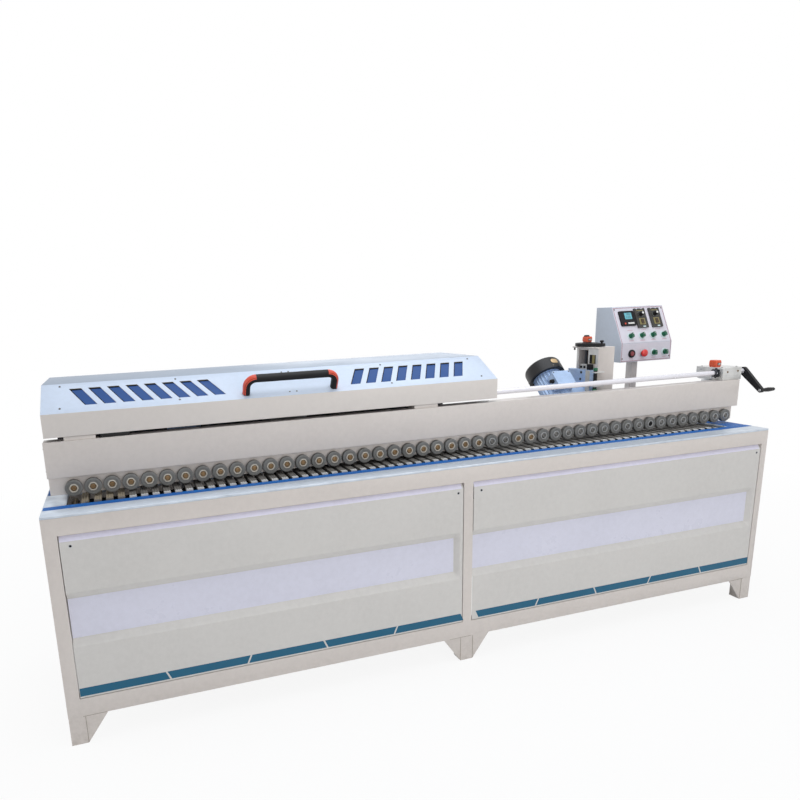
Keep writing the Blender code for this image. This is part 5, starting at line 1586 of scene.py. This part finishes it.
def looked_at(tree):
    """1 for a ray from the camera, a mirror or a glass, and 0 for a ray that gathers light."""
    rays = add(tree, "LightPath").outputs
    seen = maths(tree, "MAXIMUM", rays["Is Camera Ray"], rays["Is Glossy Ray"])
    return maths(tree, "MAXIMUM", seen, rays["Is Transmission Ray"])


def make_studio():
    """A pale floor that shades softly, an even pale world that is white to the camera, and
    four soft lamps."""
    material = bpy.data.materials.new("studio_floor")
    material.use_nodes = True
    tree = material.node_tree
    shader = tree.nodes["Principled BSDF"]
    shader.inputs["Base Color"].default_value = tone(236, 236, 236)
    shader.inputs["Roughness"].default_value = 0.9
    clear = looked_at(tree)
    spot = add(tree, "VectorMath", {0: add(tree, "TexCoord").outputs["Object"]}, operation="LENGTH")
    fade = ranged(tree, spot.outputs["Value"], (1.2, 4.2), (0.9, 1.0))
    share = maths(tree, "MULTIPLY", clear, fade)
    glow = add(tree, "Emission", {"Color": (1, 1, 1, 1), "Strength": 1.0})
    mixed = add(tree, "MixShader", {0: share, 1: shader.outputs[0], 2: glow.outputs[0]})
    tree.links.new(mixed.outputs[0], tree.nodes["Material Output"].inputs["Surface"])
    reach = 30.0
    mesh = bpy.data.meshes.new("studio_floor")
    signs = ((-1, -1), (1, -1), (1, 1), (-1, 1))
    mesh.from_pydata([(sx * reach, sy * reach, 0) for sx, sy in signs], [], [(0, 1, 2, 3)])
    mesh.materials.append(material)
    floor = bpy.data.objects.new("studio_floor", mesh)
    floor.location.z = -0.0005
    bpy.context.scene.collection.objects.link(floor)

    world = bpy.data.worlds.new("studio_air")
    bpy.context.scene.world = world
    world.use_nodes = True
    tree = world.node_tree
    even = tree.nodes["Background"]
    even.inputs["Color"].default_value = (0.93, 0.96, 1.0, 1)
    even.inputs["Strength"].default_value = 0.40
    white = add(tree, "Background", {"Color": (1, 1, 1, 1), "Strength": 1.0})
    clear = looked_at(tree)
    mixed = add(tree, "MixShader", {0: clear, 1: even.outputs[0], 2: white.outputs[0]})
    tree.links.new(mixed.outputs[0], tree.nodes["World Output"].inputs["Surface"])

    lamp("overhead_softbox", (0.2, -0.4, 4.2), (0, 0, 0.9), 4.0, 105, (0.90, 0.95, 1.0))
    lamp("front_softbox", (0.6, -4.8, 2.0), (0, 0, 0.7), 3.4, 57, (1.0, 0.965, 0.93))
    lamp("back_fill", (1.5, 4.5, 2.6), (0, 0, 0.8), 3.0, 40, (0.95, 0.97, 1.0))
    lamp("left_fill", (-5.0, 0.2, 2.2), (0, 0, 0.9), 3.0, 34, (0.97, 0.98, 1.0))


def make_camera():
    """The camera looks from the front left, turned right, tipped down and rolled a little."""
    yaw, pitch, roll = -0.296, -0.228, -0.042
    ahead = np.array([-math.sin(yaw) * math.cos(pitch), math.cos(yaw) * math.cos(pitch), math.sin(pitch)])
    level = np.array([math.cos(yaw), math.sin(yaw), 0])
    over = np.cross(level, ahead)
    to_right = math.cos(roll) * level + math.sin(roll) * over
    to_top = -math.sin(roll) * level + math.cos(roll) * over
    data = bpy.data.cameras.new("camera")
    data.lens, data.sensor_width = 28.5, 36
    data.shift_x, data.shift_y = 0.1068, 0.0743
    data.clip_start, data.clip_end = 0.05, 100
    made = bpy.data.objects.new("camera", data)
    axes = np.column_stack([to_right, to_top, -ahead])
    made.matrix_world = Matrix.Translation((-1.3692, -2.4938, 1.4632)) @ Matrix(axes.tolist()).to_4x4()
    bpy.context.scene.collection.objects.link(made)
    bpy.context.scene.camera = made


make_cabinet()
make_table_film()
make_chain()
make_drive()
make_rollers()
make_beam()
make_lift()
make_hood()
make_units()
make_column()
make_slide_crank()
make_finishing_motor()
make_carriage()
make_controls()
make_studio()
make_camera()
bpy.context.scene.view_settings.view_transform = "Standard"
